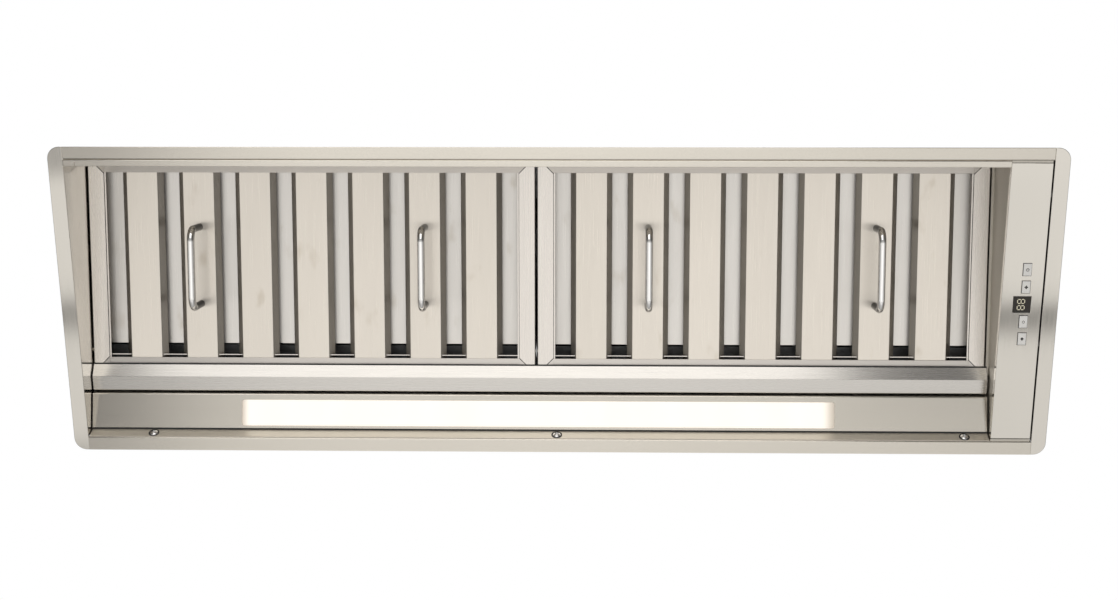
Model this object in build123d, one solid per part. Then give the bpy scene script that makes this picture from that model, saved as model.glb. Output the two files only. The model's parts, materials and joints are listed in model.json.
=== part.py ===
from build123d import *
from math import cos, hypot, radians, sin, tan
import os

# A range hood insert, seen from the cook's side: +X to the right, -Y to the front, +Z up.
# Origin: centre of the flange's underside. Sizes in millimetres.

# ---------------------------------------------------------------- driving dimensions
WIDTH = 1200.0
DEPTH = 384.0
SHEET = 1.2  # wall of shells, box and covers
THIN_SHEET = 1.0  # wall of lip, tray, light panel, rails and baffles
CORNER_R = 15.0  # outer corners of the side flanges
BEND_R = 0.8  # inside radius of the casing's bends
PRESSED_R = 0.0  # inside radius of the filters' tighter bends

FLANGE_SIDE = 18.0
FLANGE_FRONT = 15.5
FLANGE_REAR = 17.0
SHELL_HEIGHT = 150.0  # flange underside to the top panel
WALL_BEND = 58.0  # height where the front wall starts to lean back
WALL_LEAN = 19.2  # how far the front wall leans back at the top

LIP_WIDTH = 8.3
LIP_LIFT = 0.8  # the lip sits this much above the flange's underside
LIP_LEG = 4.0  # the lip's leg ends this far under the wall's bend
LIP_SLIT_X = 13.0  # from the lip's left end
LIP_SLIT_WIDTH = 0.8
LIP_SLIT_LENGTH = 5.0

PANEL_WIDTH = 47.8
PANEL_GAP = 1.7  # dark line between the control panel and the right flange
PANEL_LIFT = 1.0
PANEL_FRONT_GAP = 3.0
PANEL_REAR_GAP = 3.8
PANEL_EDGE = 8.0  # turned-up edges of the control panel
CHEEK_GAP = 0.3

FILTER_THICK = 22.0
FILTER_SLOPE = 10.1  # degrees, falling to the rear
FILTER_FRONT_Y = 31.2  # front lower corner, behind the flange's front edge
FILTER_DROP = 60.7  # front lower corner, under the top panel
FILTER_REAR_Y = 87.0  # rear lower corner, before the flange's rear edge
FILTER_SIDE_GAP = 1.5  # left filter to the left shell
FILTER_RIGHT_GAP = 5.0  # right filter to the cheek
SEAM = 3.2
RAIL_FACE = 19.5
RAIL_TURN = 12.0
RAIL_CHAMFER = 7.4
CAP_TURN = 10.0

BAFFLES = 7
BAFFLE_END = 47.0  # first baffle's middle to the side rail's face strip
BAFFLE_FACE = 37.8
BAFFLE_RISE = 7.5
BAFFLE_SPLAY = 6.6
INNER_WEB = 34.0
INNER_FOOT = 44.0
INNER_DROP = 12.0
INNER_SHORT = 35.0  # inner baffles end this far before the filter's rear end
STRAP_WIDTH = 18.0
STRAP_FROM_ENDS = 60.0
DRAIN_SLOT = (12.0, 3.0)

HANDLE_SPAN = 96.0
HANDLE_R = 4.5
HANDLE_SIDES = 12  # flats round the bar
HANDLE_STANDOFF = 46.0
HANDLE_BEND = 14.0
HANDLE_SCREW_R = 2.0
HANDLE_SCREW_HEAD_R = 4.0
HANDLE_SCREW_HEAD = 2.6
HANDLE_SCREW_BITE = 12.0

PIVOT_FROM_REAR = 28.0  # along the filter's face
PIVOT_RISE = 9.0  # above the filter's face
PIVOT_R = 3.0
PIVOT_CLEARANCE = 0.1
PIVOT_REACH = 6.0  # pin length past the rail's wall
BRACKET_SHEET = 1.6
BRACKET_R = 9.0
BRACKET_BACK = 31.0  # from the pivot to the bracket's rear edge
PIVOT_RAIL_SHEET = 1.5
PIVOT_RAIL_RISE = 36.0  # over the pivot
PIVOT_RAIL_LEG = 26.0
PIVOT_RAIL_FRONT = 5.0  # from the pivot to the rail's front edge

STOP_RAIL_DROP = 29.5  # under the top panel
STOP_RAIL_LEG = 24.0
STOP_RAIL_DEPTH = 40.0
STOP_RAIL_SHEET = 1.5
MAGNET_LENGTH = 34.0
MAGNET_START = 13.0
MAGNET_DEPTH = 20.0
MAGNET_GAP = 0.5
MAGNET_INSET = 106.5  # from a filter's side

TRAY_END_GAP = 1.2
TRAY_LIP_Y = 98.0  # before the flange's rear edge
TRAY_LIP_DROP = 1.3  # lip under the filter's face
TRAY_NOSE = (12.8, 10.2)  # back from and down from the lip
TRAY_FLOOR = 18.7  # back from the nose
TRAY_BACK_HEIGHT = 28.0
CLIP_WIDTH = 26.0
CLIP_INSET = 175.0  # from the light housing's ends
CLIP_HEIGHT = 15.0
CLIP_SHEET = 0.8
CLIP_GAP = 0.3

LIGHT_FRONT_GAP = 2.2  # tray to light panel
LIGHT_FRONT_DROP = 4.2  # tray's rear bend to the light panel's front edge
LIGHT_REAR_GAP = 5.0  # light panel's rear edge to the rear flange's inner edge
LIGHT_REAR_Z = 14.5
LIGHT_TURN = 13.0
DIFFUSER_END = 188.0  # from the light panel's ends
DIFFUSER_FROM_FRONT = 7.4
DIFFUSER_FROM_REAR = 5.05
DIFFUSER_CORNER = 3.0
DIFFUSER_THICK = 3.0
DIFFUSER_LEDGE = 4.0
BOARD_THICK = 1.6
LIGHT_BOARD_GAP = 8.0
LIGHT_BOARD_WIDTH = 20.0
LED_COUNT = 16
LED_SIZE = 5.0
LED_HEIGHT = 1.0
LIGHT_HOUSING_RISE = 17.8  # over the tray's back wall
DRIVER_SIZE = (110.0, 30.0, 22.0)
DRIVER_INSET = 80.0  # driver's middle from the housing's left end

STRIP_LEAN = 3.6
STRIP_HEIGHT = 13.4
STRIP_TOP = 26.0
STRIP_SCREW_INSET = 98.0  # outer screws from the flange's ends
STRIP_SCREW_HEAD_R = 6.5
STRIP_SCREW_HEAD = 2.4
STRIP_SCREW_EDGE = 1.4
STRIP_SCREW_SLOT = 1.2
STRIP_SCREW_R = 2.4
STRIP_SCREW_LENGTH = 12.0

BUTTON_SIZE = (9.6, 14.8)
BUTTON_INSET = 19.8  # buttons' middle from the panel's right edge
BUTTON_Y = {"timer_button": -44.4, "fan_button": -22.7, "power_button": 20.7, "light_button": 42.4}
BUTTON_GAP = 0.25
BUTTON_EDGE = 0.4
BUTTON_RETAINER = 1.5  # the retaining edge is wider than the cap by this on each side
BUTTON_BOTTOM = 0.2
BUTTON_TRAVEL = 0.8
STEM_R = 1.8
STEM_LENGTH = 1.6
SWITCH_GAP = 0.1  # above the stem at full travel
SWITCH_SIZE = (6.0, 6.0, 2.0)
WINDOW_SIZE = (21.0, 20.2)
WINDOW_INSET = 23.1
WINDOW_Y = -1.0
WINDOW_RETAINER = 1.5
CONTROL_BOARD_SIZE = (36.0, 130.0)
POST_R = 2.5

BOX_WIDTH = 460.0
BOX_FROM_REAR = 32.0  # box's rear wall before the flange's rear edge
BOX_REAR_GAP = 5.6  # collar's foot to the box's rear wall
BOX_HEIGHT = 200.0
BOX_FOOT = 15.0
INTAKE_MARGIN = 18.0  # top panel's edge left inside the box
HANGER_INSET = (60.0, 92.0)  # from the flange's ends, and from its front and rear edges
HANGER_R = 3.5

WHEEL_R = 66.0
WHEEL_WIDTH = 130.0
WHEEL_INNER_R = 54.0
WHEEL_RING = 3.0  # section of the wheel's end rings
BLADES = 24
BLADE_THICK = 1.0
BLADE_BOW = 3.5
HUB_R = 12.0
HUB_LENGTH = 30.0
SCROLL_R = 82.0  # scroll's radius before the wheel
SCROLL_STEP = 8.0  # growth of the scroll's radius each quarter turn
SCROLL_GAP = 2.0  # to the box's front wall
SCROLL_LIFT = 5.0  # over the top panel
SCROLL_WIDTH = 150.0
TONGUE_ANGLE = 60.0
INLET_R = 50.0
INLET_RING = 18.0
INLET_DEPTH = 8.0
SHAFT_R = 5.0
SHAFT_GAP = 0.1
SHAFT_START = -28.0
SHAFT_BITE = 26.0  # shaft inside the motor
SHAFT_END_GAP = 2.0
MOTOR_R = 40.0
MOTOR_EDGE = 4.0
MOTOR_LENGTH = 74.0
MOTOR_GAP = 14.0  # from the inlet ring to the motor
ARM_WIDTH = 16.0
ARM_THICK = 2.0
ARM_FOOT = 9.0  # length of an arm's foot on the inlet ring
ARM_LAP = 4.0  # arm over the bracket's ring
ARM_RING_INSET = 6.0  # ring's edge inside the motor's

COLLAR_R = 98.5
COLLAR_HEIGHT = 46.0
COLLAR_FOOT = 10.0
COLLAR_BEAD = 1.6
COLLAR_BEAD_Z = 8.0
ROD_R = 2.0
ROD_RISE = 22.0
FLAP_GAP = 2.0
FLAP_ROOT = 4.0
KNUCKLE_R = 3.6
KNUCKLE_LENGTH = 18.0
KNUCKLE_CLEARANCE = 0.1
KNUCKLE_GAP = 0.3  # beside a knuckle of the other flap
KNUCKLES = {"front_flap": (-62.0, 62.0), "rear_flap": (-30.0, 30.0)}
FLAP_STOP = (14.0, 5.0, 2.0)

WIRING_FROM_BOX = 70.0  # from the blower box's side
WIRING_LENGTH = 120.0
WIRING_Y = (-60.0, 60.0)
WIRING_HEIGHT = 58.0
COVER_LIP = 6.0
GLAND_Z = 30.0
GLAND_HOLE_R = 5.0
GLAND_R = 10.0
GLAND_Y = -30.0
GLAND_HEX = 24.0
GLAND_HEX_THICK = 6.0
GLAND_CAP_R = 11.0
GLAND_INSIDE = 12.0  # length inside the wiring box
GLAND_LENGTH = 26.0
CONDUIT_R = 6.0
CONDUIT_INSET = 25.0  # from the right wall
CONDUIT_Y = 35.0
CONDUIT_Z = 26.0  # over the top panel
CONDUIT_BEND = 24.0
CONDUIT_DIP = 16.0

SCREW_INSET = 9.0  # from a sheet's edge
COLLAR_SCREW_OUT = 6.0  # outside the collar's tube
PANEL_SCREW_FROM_BOX = 45.0
SCREW_FLATS = 7.0
SCREW_HEAD = 3.0
WASHER_R = 5.0
WASHER_THICK = 0.8
WASHER_SIDES = 12

# ---------------------------------------------------------------- places worked out from them
LEFT = -WIDTH / 2
RIGHT = WIDTH / 2
FRONT = -DEPTH / 2
REAR = DEPTH / 2
INNER_LEFT = LEFT + FLANGE_SIDE
INNER_RIGHT = RIGHT - FLANGE_SIDE
INNER_FRONT = FRONT + FLANGE_FRONT
INNER_REAR = REAR - FLANGE_REAR
PANEL_RIGHT = INNER_RIGHT - PANEL_GAP
PANEL_LEFT = PANEL_RIGHT - PANEL_WIDTH
PANEL_FRONT = INNER_FRONT + PANEL_FRONT_GAP
PANEL_REAR = INNER_REAR - PANEL_REAR_GAP
PANEL_TOP = PANEL_LIFT + SHEET
CHEEK_X = PANEL_LEFT + SHEET
TOP = SHELL_HEIGHT + SHEET  # upper face of the top panel

WALL_TOP_Y = INNER_FRONT + WALL_LEAN

SLOPE_SIN = sin(radians(FILTER_SLOPE))
SLOPE_COS = cos(radians(FILTER_SLOPE))
FILTER_ORIGIN = (FRONT + FILTER_FRONT_Y, SHELL_HEIGHT - FILTER_DROP)
FILTER_LENGTH = (DEPTH - FILTER_FRONT_Y - FILTER_REAR_Y) / SLOPE_COS
FILTER_WIDTH = (CHEEK_X - FILTER_RIGHT_GAP - INNER_LEFT - FILTER_SIDE_GAP - SEAM) / 2
BAFFLE_PITCH = (FILTER_WIDTH - 2 * RAIL_FACE - 2 * BAFFLE_END) / (BAFFLES - 1)
LEFT_FILTER_X = INNER_LEFT + FILTER_SIDE_GAP + FILTER_WIDTH / 2
RIGHT_FILTER_X = LEFT_FILTER_X + FILTER_WIDTH + SEAM
SEAM_X = LEFT_FILTER_X + (FILTER_WIDTH + SEAM) / 2
BAFFLE_X = [(i - (BAFFLES - 1) / 2) * BAFFLE_PITCH for i in range(BAFFLES)]
HANDLE_X = (BAFFLE_X[1], BAFFLE_X[-2])  # second baffle from each side
BAFFLE_FLOOR = 2 * THIN_SHEET  # underside of the outer baffles, over the rails' face


def filter_point(s, n):
    """Y and Z of a point s behind the filter's front edge and n over its face."""
    y, z = FILTER_ORIGIN
    return y + s * SLOPE_COS + n * SLOPE_SIN, z - s * SLOPE_SIN + n * SLOPE_COS


PIVOT_S = FILTER_LENGTH - PIVOT_FROM_REAR
PIVOT_Y, PIVOT_Z = filter_point(PIVOT_S, PIVOT_RISE)

LIP_Y = REAR - TRAY_LIP_Y
LIP_Z = FILTER_ORIGIN[1] - (LIP_Y - FILTER_ORIGIN[0]) * tan(radians(FILTER_SLOPE)) - TRAY_LIP_DROP
NOSE = (LIP_Y + TRAY_NOSE[0], LIP_Z - TRAY_NOSE[1])
TRAY_BACK = (NOSE[0] + TRAY_FLOOR, NOSE[1])
TRAY_TOP_Z = TRAY_BACK[1] + TRAY_BACK_HEIGHT
TRAY_LEFT = INNER_LEFT + TRAY_END_GAP
TRAY_RIGHT = PANEL_LEFT - TRAY_END_GAP

LIGHT_FRONT = TRAY_BACK[0] + LIGHT_FRONT_GAP
LIGHT_FRONT_Z = TRAY_BACK[1] - LIGHT_FRONT_DROP
LIGHT_HOUSING_Z = TRAY_TOP_Z + LIGHT_HOUSING_RISE
LIGHT_REAR = INNER_REAR - LIGHT_REAR_GAP
LIGHT_LEFT = INNER_LEFT + TRAY_END_GAP
LIGHT_RIGHT = PANEL_LEFT - TRAY_END_GAP
HOUSING_FRONT = LIGHT_FRONT + THIN_SHEET
DIFFUSER_LENGTH = LIGHT_RIGHT - LIGHT_LEFT - 2 * DIFFUSER_END
DIFFUSER_X = (LIGHT_LEFT + LIGHT_RIGHT) / 2
LIGHT_RUN = hypot(LIGHT_REAR - LIGHT_FRONT, LIGHT_FRONT_Z - LIGHT_REAR_Z)
LIGHT_UP = ((LIGHT_FRONT_Z - LIGHT_REAR_Z) / LIGHT_RUN, (LIGHT_REAR - LIGHT_FRONT) / LIGHT_RUN)
DIFFUSER_WIDTH = LIGHT_RUN - DIFFUSER_FROM_FRONT - DIFFUSER_FROM_REAR
PIVOT_RAIL_Z = PIVOT_Z + PIVOT_RAIL_RISE
STOP_RAIL_Z = SHELL_HEIGHT - STOP_RAIL_DROP
BUTTON_X = PANEL_RIGHT - BUTTON_INSET
WINDOW_X = PANEL_RIGHT - WINDOW_INSET
STRIP_SCREW_X = (LEFT + STRIP_SCREW_INSET, 0.0, RIGHT - STRIP_SCREW_INSET)
HANGERS = [(a * (RIGHT - HANGER_INSET[0]), b * (REAR - HANGER_INSET[1])) for a in (-1, 1) for b in (-1, 1)]

BOX_REAR_Y = REAR - BOX_FROM_REAR
BOX_TOP = TOP + BOX_HEIGHT
# the scroll's outlet, measured behind the wheel's axis
OUTLET_FRONT = (SCROLL_R - SCROLL_STEP) * cos(radians(TONGUE_ANGLE)) - SCROLL_STEP / 2
OUTLET_REAR = SCROLL_R + 2 * SCROLL_STEP + SCROLL_STEP / 2
COLLAR_Y = BOX_REAR_Y - BOX_REAR_GAP - COLLAR_FOOT - COLLAR_R
WHEEL_Y = COLLAR_Y - (OUTLET_FRONT + OUTLET_REAR) / 2
BOX_FRONT_Y = WHEEL_Y - SCROLL_STEP / 2 - SCROLL_R - SCROLL_GAP - 2 * SHEET
WHEEL_Z = TOP + SHEET + SCROLL_LIFT + SCROLL_R + SCROLL_STEP * 3 / 2
LID_TOP = BOX_TOP + SHEET
COLLAR_FOOT_TOP = LID_TOP + SHEET
ROD_Z = COLLAR_FOOT_TOP + ROD_RISE
SCROLL_TOP = BOX_TOP - WHEEL_Z
RING_FACE = SCROLL_WIDTH / 2 + 2 * SHEET  # outer face of the inlet ring
MOTOR_X = RING_FACE + MOTOR_GAP
WIRING_X = (BOX_WIDTH / 2 + WIRING_FROM_BOX, BOX_WIDTH / 2 + WIRING_FROM_BOX + WIRING_LENGTH)
CONDUIT_X = INNER_RIGHT - CONDUIT_INSET
SWITCH_Z = BUTTON_BOTTOM + BUTTON_TRAVEL + PANEL_TOP + SHEET + STEM_LENGTH + SWITCH_GAP
BOARD_Z = SWITCH_Z + SWITCH_SIZE[2]


# ---------------------------------------------------------------- helpers
def outline(points):
    """Flat face inside a closed run of points."""
    return make_face(Polyline(*points, close=True))


def rounded(corners):
    """Flat face inside a closed run of corners, each a point and its radius."""
    ends = []
    edges = []
    for i, (point, radius) in enumerate(corners):
        before = (point - corners[i - 1][0]).normalized()
        after = (corners[(i + 1) % len(corners)][0] - point).normalized()
        if not radius:
            ends.append((point, point))
            continue
        half = radians(before.get_angle(after)) / 2
        reach = radius * tan(half)
        inward = (after - before).normalized()
        middle = point + inward * (radius / cos(half) - radius)
        ends.append((point - before * reach, point + after * reach))
        edges.append(ThreePointArc(ends[-1][0], middle, ends[-1][1]))
    for i, (start, _) in enumerate(ends):
        edges.append(Line(ends[i - 1][1], start))
    return make_face(edges)


def bent(points, thick, bend=BEND_R):
    """Section of a bent sheet. The points run along its seen face and the metal lies to their left."""
    line = [Vector(*p) for p in points]
    sides = []
    for a, b in zip(line, line[1:]):
        length = hypot(b.X - a.X, b.Y - a.Y)
        sides.append(Vector((a.Y - b.Y) / length, (b.X - a.X) / length))
    back = [line[0] + sides[0] * thick]
    for point, before, after in zip(line[1:], sides, sides[1:]):
        both = before + after
        back.append(point + both * (2 * thick / both.dot(both)))
    back.append(line[-1] + sides[-1] * thick)
    radii = []
    for before, after in zip(sides, sides[1:]):
        towards = (before.cross(after).Z > 0) == (thick > 0)
        radii.append((bend + abs(thick), bend) if towards else (bend, bend + abs(thick)))
    front = [(line[0], 0), *[(point, pair[0]) for point, pair in zip(line[1:], radii)], (line[-1], 0)]
    rear = [(back[0], 0), *[(point, pair[1]) for point, pair in zip(back[1:], radii)], (back[-1], 0)]
    return rounded([*front, *reversed(rear)])


def along_x(section, x0, x1):
    """Push a (Y, Z) section from x0 to x1."""
    return extrude(Plane((x0, 0, 0), x_dir=(0, 1, 0), z_dir=(1, 0, 0)) * section, x1 - x0)


def along_y(section, y0, y1):
    """Push an (X, Z) section from y0 to y1."""
    return extrude(Plane((0, y1, 0), x_dir=(1, 0, 0), z_dir=(0, -1, 0)) * section, y1 - y0)


def along_z(section, z0, z1):
    """Push an (X, Y) section from z0 to z1."""
    return extrude(Plane((0, 0, z0), x_dir=(1, 0, 0), z_dir=(0, 0, 1)) * section, z1 - z0)


def block(low, high):
    """Box between two corners."""
    size = [b - a for a, b in zip(low, high)]
    return Pos(*low) * Box(*size, align=(Align.MIN, Align.MIN, Align.MIN))


def rod(centre, radius, length, turn=(0, 0, 0)):
    """Cylinder that starts at centre; it runs along +Z before the turn."""
    return Pos(*centre) * Rot(*turn) * Cylinder(radius, length, align=(Align.CENTER, Align.CENTER, Align.MIN))


def rod_x(x0, x1, y, z, radius):
    """Cylinder along X."""
    return rod((x0, y, z), radius, x1 - x0, (0, 90, 0))


def on_filter(centre_x, piece):
    """Place a piece made in the filter's own frame: X across, Y down the slope, Z over the face."""
    plane = Plane((centre_x, *FILTER_ORIGIN), x_dir=(1, 0, 0), z_dir=(0, SLOPE_SIN, SLOPE_COS))
    return plane.location * piece


def node(name, *pieces):
    """Write one named node, holding one or more closed solids."""
    solids = [solid for piece in pieces for solid in piece.solids()]
    shape = solids[0] if len(solids) == 1 else Compound(solids)
    export_step(shape, f"parts/{name}.step")


# ---------------------------------------------------------------- shells and lip
def side_shell(outer_x, inner_x):
    """Full-length flange with rounded outer corners, and the wall that rises from its inner edge."""
    face = Pos((outer_x + inner_x) / 2, 0) * Rectangle(abs(inner_x - outer_x), DEPTH)
    corners = face.vertices().filter_by(lambda v: abs(v.X - outer_x) < abs(v.X - inner_x))
    flange = along_z(fillet(corners, CORNER_R), 0, SHEET)
    out = SHEET if outer_x > inner_x else -SHEET
    low_x, high_x = sorted((inner_x, inner_x + out))
    wall = outline(
        [
            (INNER_FRONT, 0),
            (INNER_FRONT, WALL_BEND),
            (WALL_TOP_Y, SHELL_HEIGHT),
            (INNER_REAR, SHELL_HEIGHT),
            (INNER_REAR, 0),
        ]
    )
    return flange + along_x(wall, low_x, high_x)


def wall_y(z):
    """Y of the front wall's inner face at a height over its bend."""
    return INNER_FRONT + WALL_LEAN * (z - WALL_BEND) / (SHELL_HEIGHT - WALL_BEND)


def front_shell():
    """Front flange, and the wall that rises from it and leans back."""
    over = SHELL_HEIGHT + SHEET
    section = bent([(wall_y(over), over), (INNER_FRONT, WALL_BEND), (INNER_FRONT, 0), (FRONT, 0)], -SHEET)
    shell = along_x(section, INNER_LEFT, INNER_RIGHT)
    return shell - block((LEFT, FRONT, SHELL_HEIGHT), (RIGHT, REAR, 2 * SHELL_HEIGHT))


def rear_shell():
    section = bent([(INNER_REAR, SHELL_HEIGHT), (INNER_REAR, 0), (REAR, 0)], SHEET)
    shell = along_x(section, INNER_LEFT, INNER_RIGHT)
    return shell - strip_screw_shanks(SHAFT_GAP)


def front_lip():
    """Inner lip behind the front flange, with the leg that lines the front wall."""
    edge = INNER_FRONT + LIP_WIDTH
    leg_top = WALL_BEND - LIP_LEG
    section = bent([(edge, LIP_LIFT), (INNER_FRONT, LIP_LIFT), (INNER_FRONT, leg_top)], -THIN_SHEET)
    lip = along_x(section, INNER_LEFT, PANEL_LEFT)
    slit_x = INNER_LEFT + LIP_SLIT_X
    slit_low = (slit_x, edge - LIP_SLIT_LENGTH, 0)
    return lip - block(slit_low, (slit_x + LIP_SLIT_WIDTH, edge, 2 * LIP_LIFT + THIN_SHEET))


STRIP_FOOT_Y = INNER_REAR - THIN_SHEET
STRIP_TOP_Y = STRIP_FOOT_Y - STRIP_LEAN
STRIP_FOOT_Z = THIN_SHEET
STRIP_BEND_Z = STRIP_FOOT_Z + STRIP_HEIGHT
STRIP_SCREW_Y = (STRIP_FOOT_Y + STRIP_TOP_Y) / 2
STRIP_SCREW_Z = (STRIP_FOOT_Z + STRIP_BEND_Z) / 2


def strip_screw_plane(x):
    """Plane whose Z points out of the strip at a screw."""
    length = hypot(STRIP_LEAN, STRIP_HEIGHT)
    out = (0, -STRIP_HEIGHT / length, -STRIP_LEAN / length)
    return Plane((x, STRIP_SCREW_Y, STRIP_SCREW_Z), x_dir=(1, 0, 0), z_dir=out)


def strip_screw_shanks(extra):
    """The three shanks, grown by a clearance, to cut or to keep."""
    shank = Pos(0, 0, -STRIP_SCREW_LENGTH / 2) * Cylinder(STRIP_SCREW_R + extra, STRIP_SCREW_LENGTH)
    return Part() + [strip_screw_plane(x).location * shank for x in STRIP_SCREW_X]


def rear_strip():
    """Leaning strip that holds the light panel's rear edge."""
    section = bent(
        [(STRIP_FOOT_Y, STRIP_FOOT_Z), (STRIP_TOP_Y, STRIP_BEND_Z), (STRIP_TOP_Y, STRIP_BEND_Z + STRIP_TOP)],
        -THIN_SHEET,
    )
    return along_x(section, LIGHT_LEFT, LIGHT_RIGHT) - strip_screw_shanks(SHAFT_GAP)


def strip_screws():
    """Wide low heads with a cross recess."""
    head = Cylinder(STRIP_SCREW_HEAD_R, STRIP_SCREW_HEAD, align=(Align.CENTER, Align.CENTER, Align.MIN))
    head = chamfer(head.edges().sort_by(Axis.Z)[-1], STRIP_SCREW_EDGE)
    slot = Pos(0, 0, STRIP_SCREW_HEAD) * Box(STRIP_SCREW_HEAD_R, STRIP_SCREW_SLOT, STRIP_SCREW_HEAD)
    shank = Cylinder(STRIP_SCREW_R, STRIP_SCREW_LENGTH, align=(Align.CENTER, Align.CENTER, Align.MAX))
    screw = head - slot - Rot(0, 0, 90) * slot + shank
    return [strip_screw_plane(x).location * screw for x in STRIP_SCREW_X]


# ---------------------------------------------------------------- filters
def side_rails():
    """Two full-length channels whose face strips have their inner corners cut at 45 degrees."""
    half = FILTER_WIDTH / 2
    turns = [(RAIL_TURN, FILTER_THICK), (0, FILTER_THICK), (0, 0), (RAIL_FACE, 0)]
    section = bent(turns, THIN_SHEET, PRESSED_R)
    rail = along_y(section, 0, FILTER_LENGTH)
    cut = outline([(RAIL_FACE - RAIL_CHAMFER, 0), (RAIL_FACE, 0), (RAIL_FACE, RAIL_CHAMFER)])
    corner = along_z(cut, -THIN_SHEET, 2 * THIN_SHEET)
    rail = rail - corner - Pos(0, FILTER_LENGTH, 0) * mirror(corner, Plane.XZ)
    rail = rail - rod_x(-THIN_SHEET, 2 * THIN_SHEET, PIVOT_S, PIVOT_RISE, PIVOT_R + PIVOT_CLEARANCE)
    left = Pos(-half, 0, 0) * rail
    return [left, mirror(left, Plane.YZ)]


def end_caps():
    """Front and rear channels between the side rails; the rear one has drain slots over the tray."""
    half = FILTER_WIDTH / 2 - THIN_SHEET
    top = FILTER_THICK - THIN_SHEET
    turns = [(CAP_TURN, top), (0, top), (0, THIN_SHEET), (RAIL_FACE, THIN_SHEET)]
    section = bent(turns, THIN_SHEET, PRESSED_R)
    front = along_x(section, -half, half)
    rear = Pos(0, FILTER_LENGTH, 0) * mirror(front, Plane.XZ)
    length, width = DRAIN_SLOT
    for x in BAFFLE_X:
        rear = rear - Pos(x, FILTER_LENGTH - RAIL_FACE / 4, THIN_SHEET) * Box(length, width, 3 * THIN_SHEET)
    return [front, rear]


def outer_baffles():
    """Channels that open upward, resting on the end caps."""
    foot = BAFFLE_FACE / 2
    wing = foot + BAFFLE_SPLAY
    low = BAFFLE_FLOOR
    high = BAFFLE_FLOOR + BAFFLE_RISE
    section = bent([(-wing, high), (-foot, low), (foot, low), (wing, high)], THIN_SHEET, PRESSED_R)
    baffle = along_y(section, 2 * THIN_SHEET, FILTER_LENGTH - 2 * THIN_SHEET)
    return [Pos(x, 0, 0) * baffle for x in BAFFLE_X]


def inner_baffles():
    """Channels that open downward over the gaps; they stop short of the rear end."""
    web = INNER_WEB / 2
    foot = INNER_FOOT / 2
    high = FILTER_THICK - 3 * THIN_SHEET
    low = high - INNER_DROP
    section = bent([(foot, low), (web, high), (-web, high), (-foot, low)], THIN_SHEET, PRESSED_R)
    baffle = along_y(section, THIN_SHEET, FILTER_LENGTH - INNER_SHORT)
    gaps = [BAFFLE_X[0] - BAFFLE_PITCH / 2 + i * BAFFLE_PITCH for i in range(BAFFLES + 1)]
    inset = FILTER_WIDTH / 2 - THIN_SHEET - foot - THIN_SHEET
    return [Pos(max(-inset, min(inset, x)), 0, 0) * baffle for x in gaps]


def baffle_straps():
    """Flat straps across the inner baffles, held under the side rails' turned edges."""
    half = FILTER_WIDTH / 2 - THIN_SHEET
    high = FILTER_THICK - THIN_SHEET
    low = FILTER_THICK - 3 * THIN_SHEET
    straps = []
    for s in (STRAP_FROM_ENDS, FILTER_LENGTH - STRAP_FROM_ENDS):
        straps.append(block((-half, s - STRAP_WIDTH / 2, low), (half, s + STRAP_WIDTH / 2, high)))
    return straps


def handles():
    """Bent round bars, each screwed to an outer baffle from inside."""
    top = BAFFLE_FLOOR
    grip = top - HANDLE_STANDOFF
    middle = FILTER_LENGTH / 2
    start = middle - HANDLE_SPAN / 2
    end = middle + HANDLE_SPAN / 2
    bars = []
    for x in HANDLE_X:
        path = FilletPolyline(
            (x, start, top), (x, start, grip), (x, end, grip), (x, end, top), radius=HANDLE_BEND
        )
        bar = sweep(Plane((x, start, top), z_dir=(0, 0, -1)) * RegularPolygon(HANDLE_R, HANDLE_SIDES), path)
        bars.append(bar - handle_screw_cut(x, start) - handle_screw_cut(x, end))
    return bars


def handle_screw_cut(x, s):
    return rod((x, s, BAFFLE_FLOOR - HANDLE_SCREW_BITE), HANDLE_SCREW_R, HANDLE_SCREW_BITE + 2 * THIN_SHEET)


def handle_places():
    middle = FILTER_LENGTH / 2
    return [(x, middle + side * HANDLE_SPAN / 2) for x in HANDLE_X for side in (-1, 1)]


def handle_screws():
    """Hexagon-head screws from inside the channels into the handles' feet."""
    floor = BAFFLE_FLOOR + THIN_SHEET
    screws = []
    for x, s in handle_places():
        head = along_z(Pos(x, s) * RegularPolygon(HANDLE_SCREW_HEAD_R, 6), floor, floor + HANDLE_SCREW_HEAD)
        screws.append(head + handle_screw_cut(x, s))
    return screws


def write_filter(side, centre_x):
    drilled = []
    for middle, baffle in zip(BAFFLE_X, outer_baffles()):
        if middle in HANDLE_X:
            for x, s in handle_places():
                baffle = baffle - handle_screw_cut(x, s)
        drilled.append(baffle)
    pieces = {
        "frame": [*side_rails(), *end_caps()],
        "outer_baffles": drilled,
        "inner_baffles": inner_baffles(),
        "baffle_straps": baffle_straps(),
        "handles": handles(),
        "handle_screws": handle_screws(),
    }
    for name, solids in pieces.items():
        node(f"{side}_filter_{name}", *[on_filter(centre_x, solid) for solid in solids])


# ---------------------------------------------------------------- what holds the filters
def pivot_pins():
    """A stub from each cheek and one pin through the bracket in the seam."""
    reach = THIN_SHEET + PIVOT_REACH
    left_end = LEFT_FILTER_X - FILTER_WIDTH / 2 + reach
    right_end = RIGHT_FILTER_X + FILTER_WIDTH / 2 - reach
    middle = SEAM / 2 + reach
    return [
        rod_x(INNER_LEFT, left_end, PIVOT_Y, PIVOT_Z, PIVOT_R),
        rod_x(SEAM_X - middle, SEAM_X + middle, PIVOT_Y, PIVOT_Z, PIVOT_R),
        rod_x(right_end, CHEEK_X, PIVOT_Y, PIVOT_Z, PIVOT_R),
    ]


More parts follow.
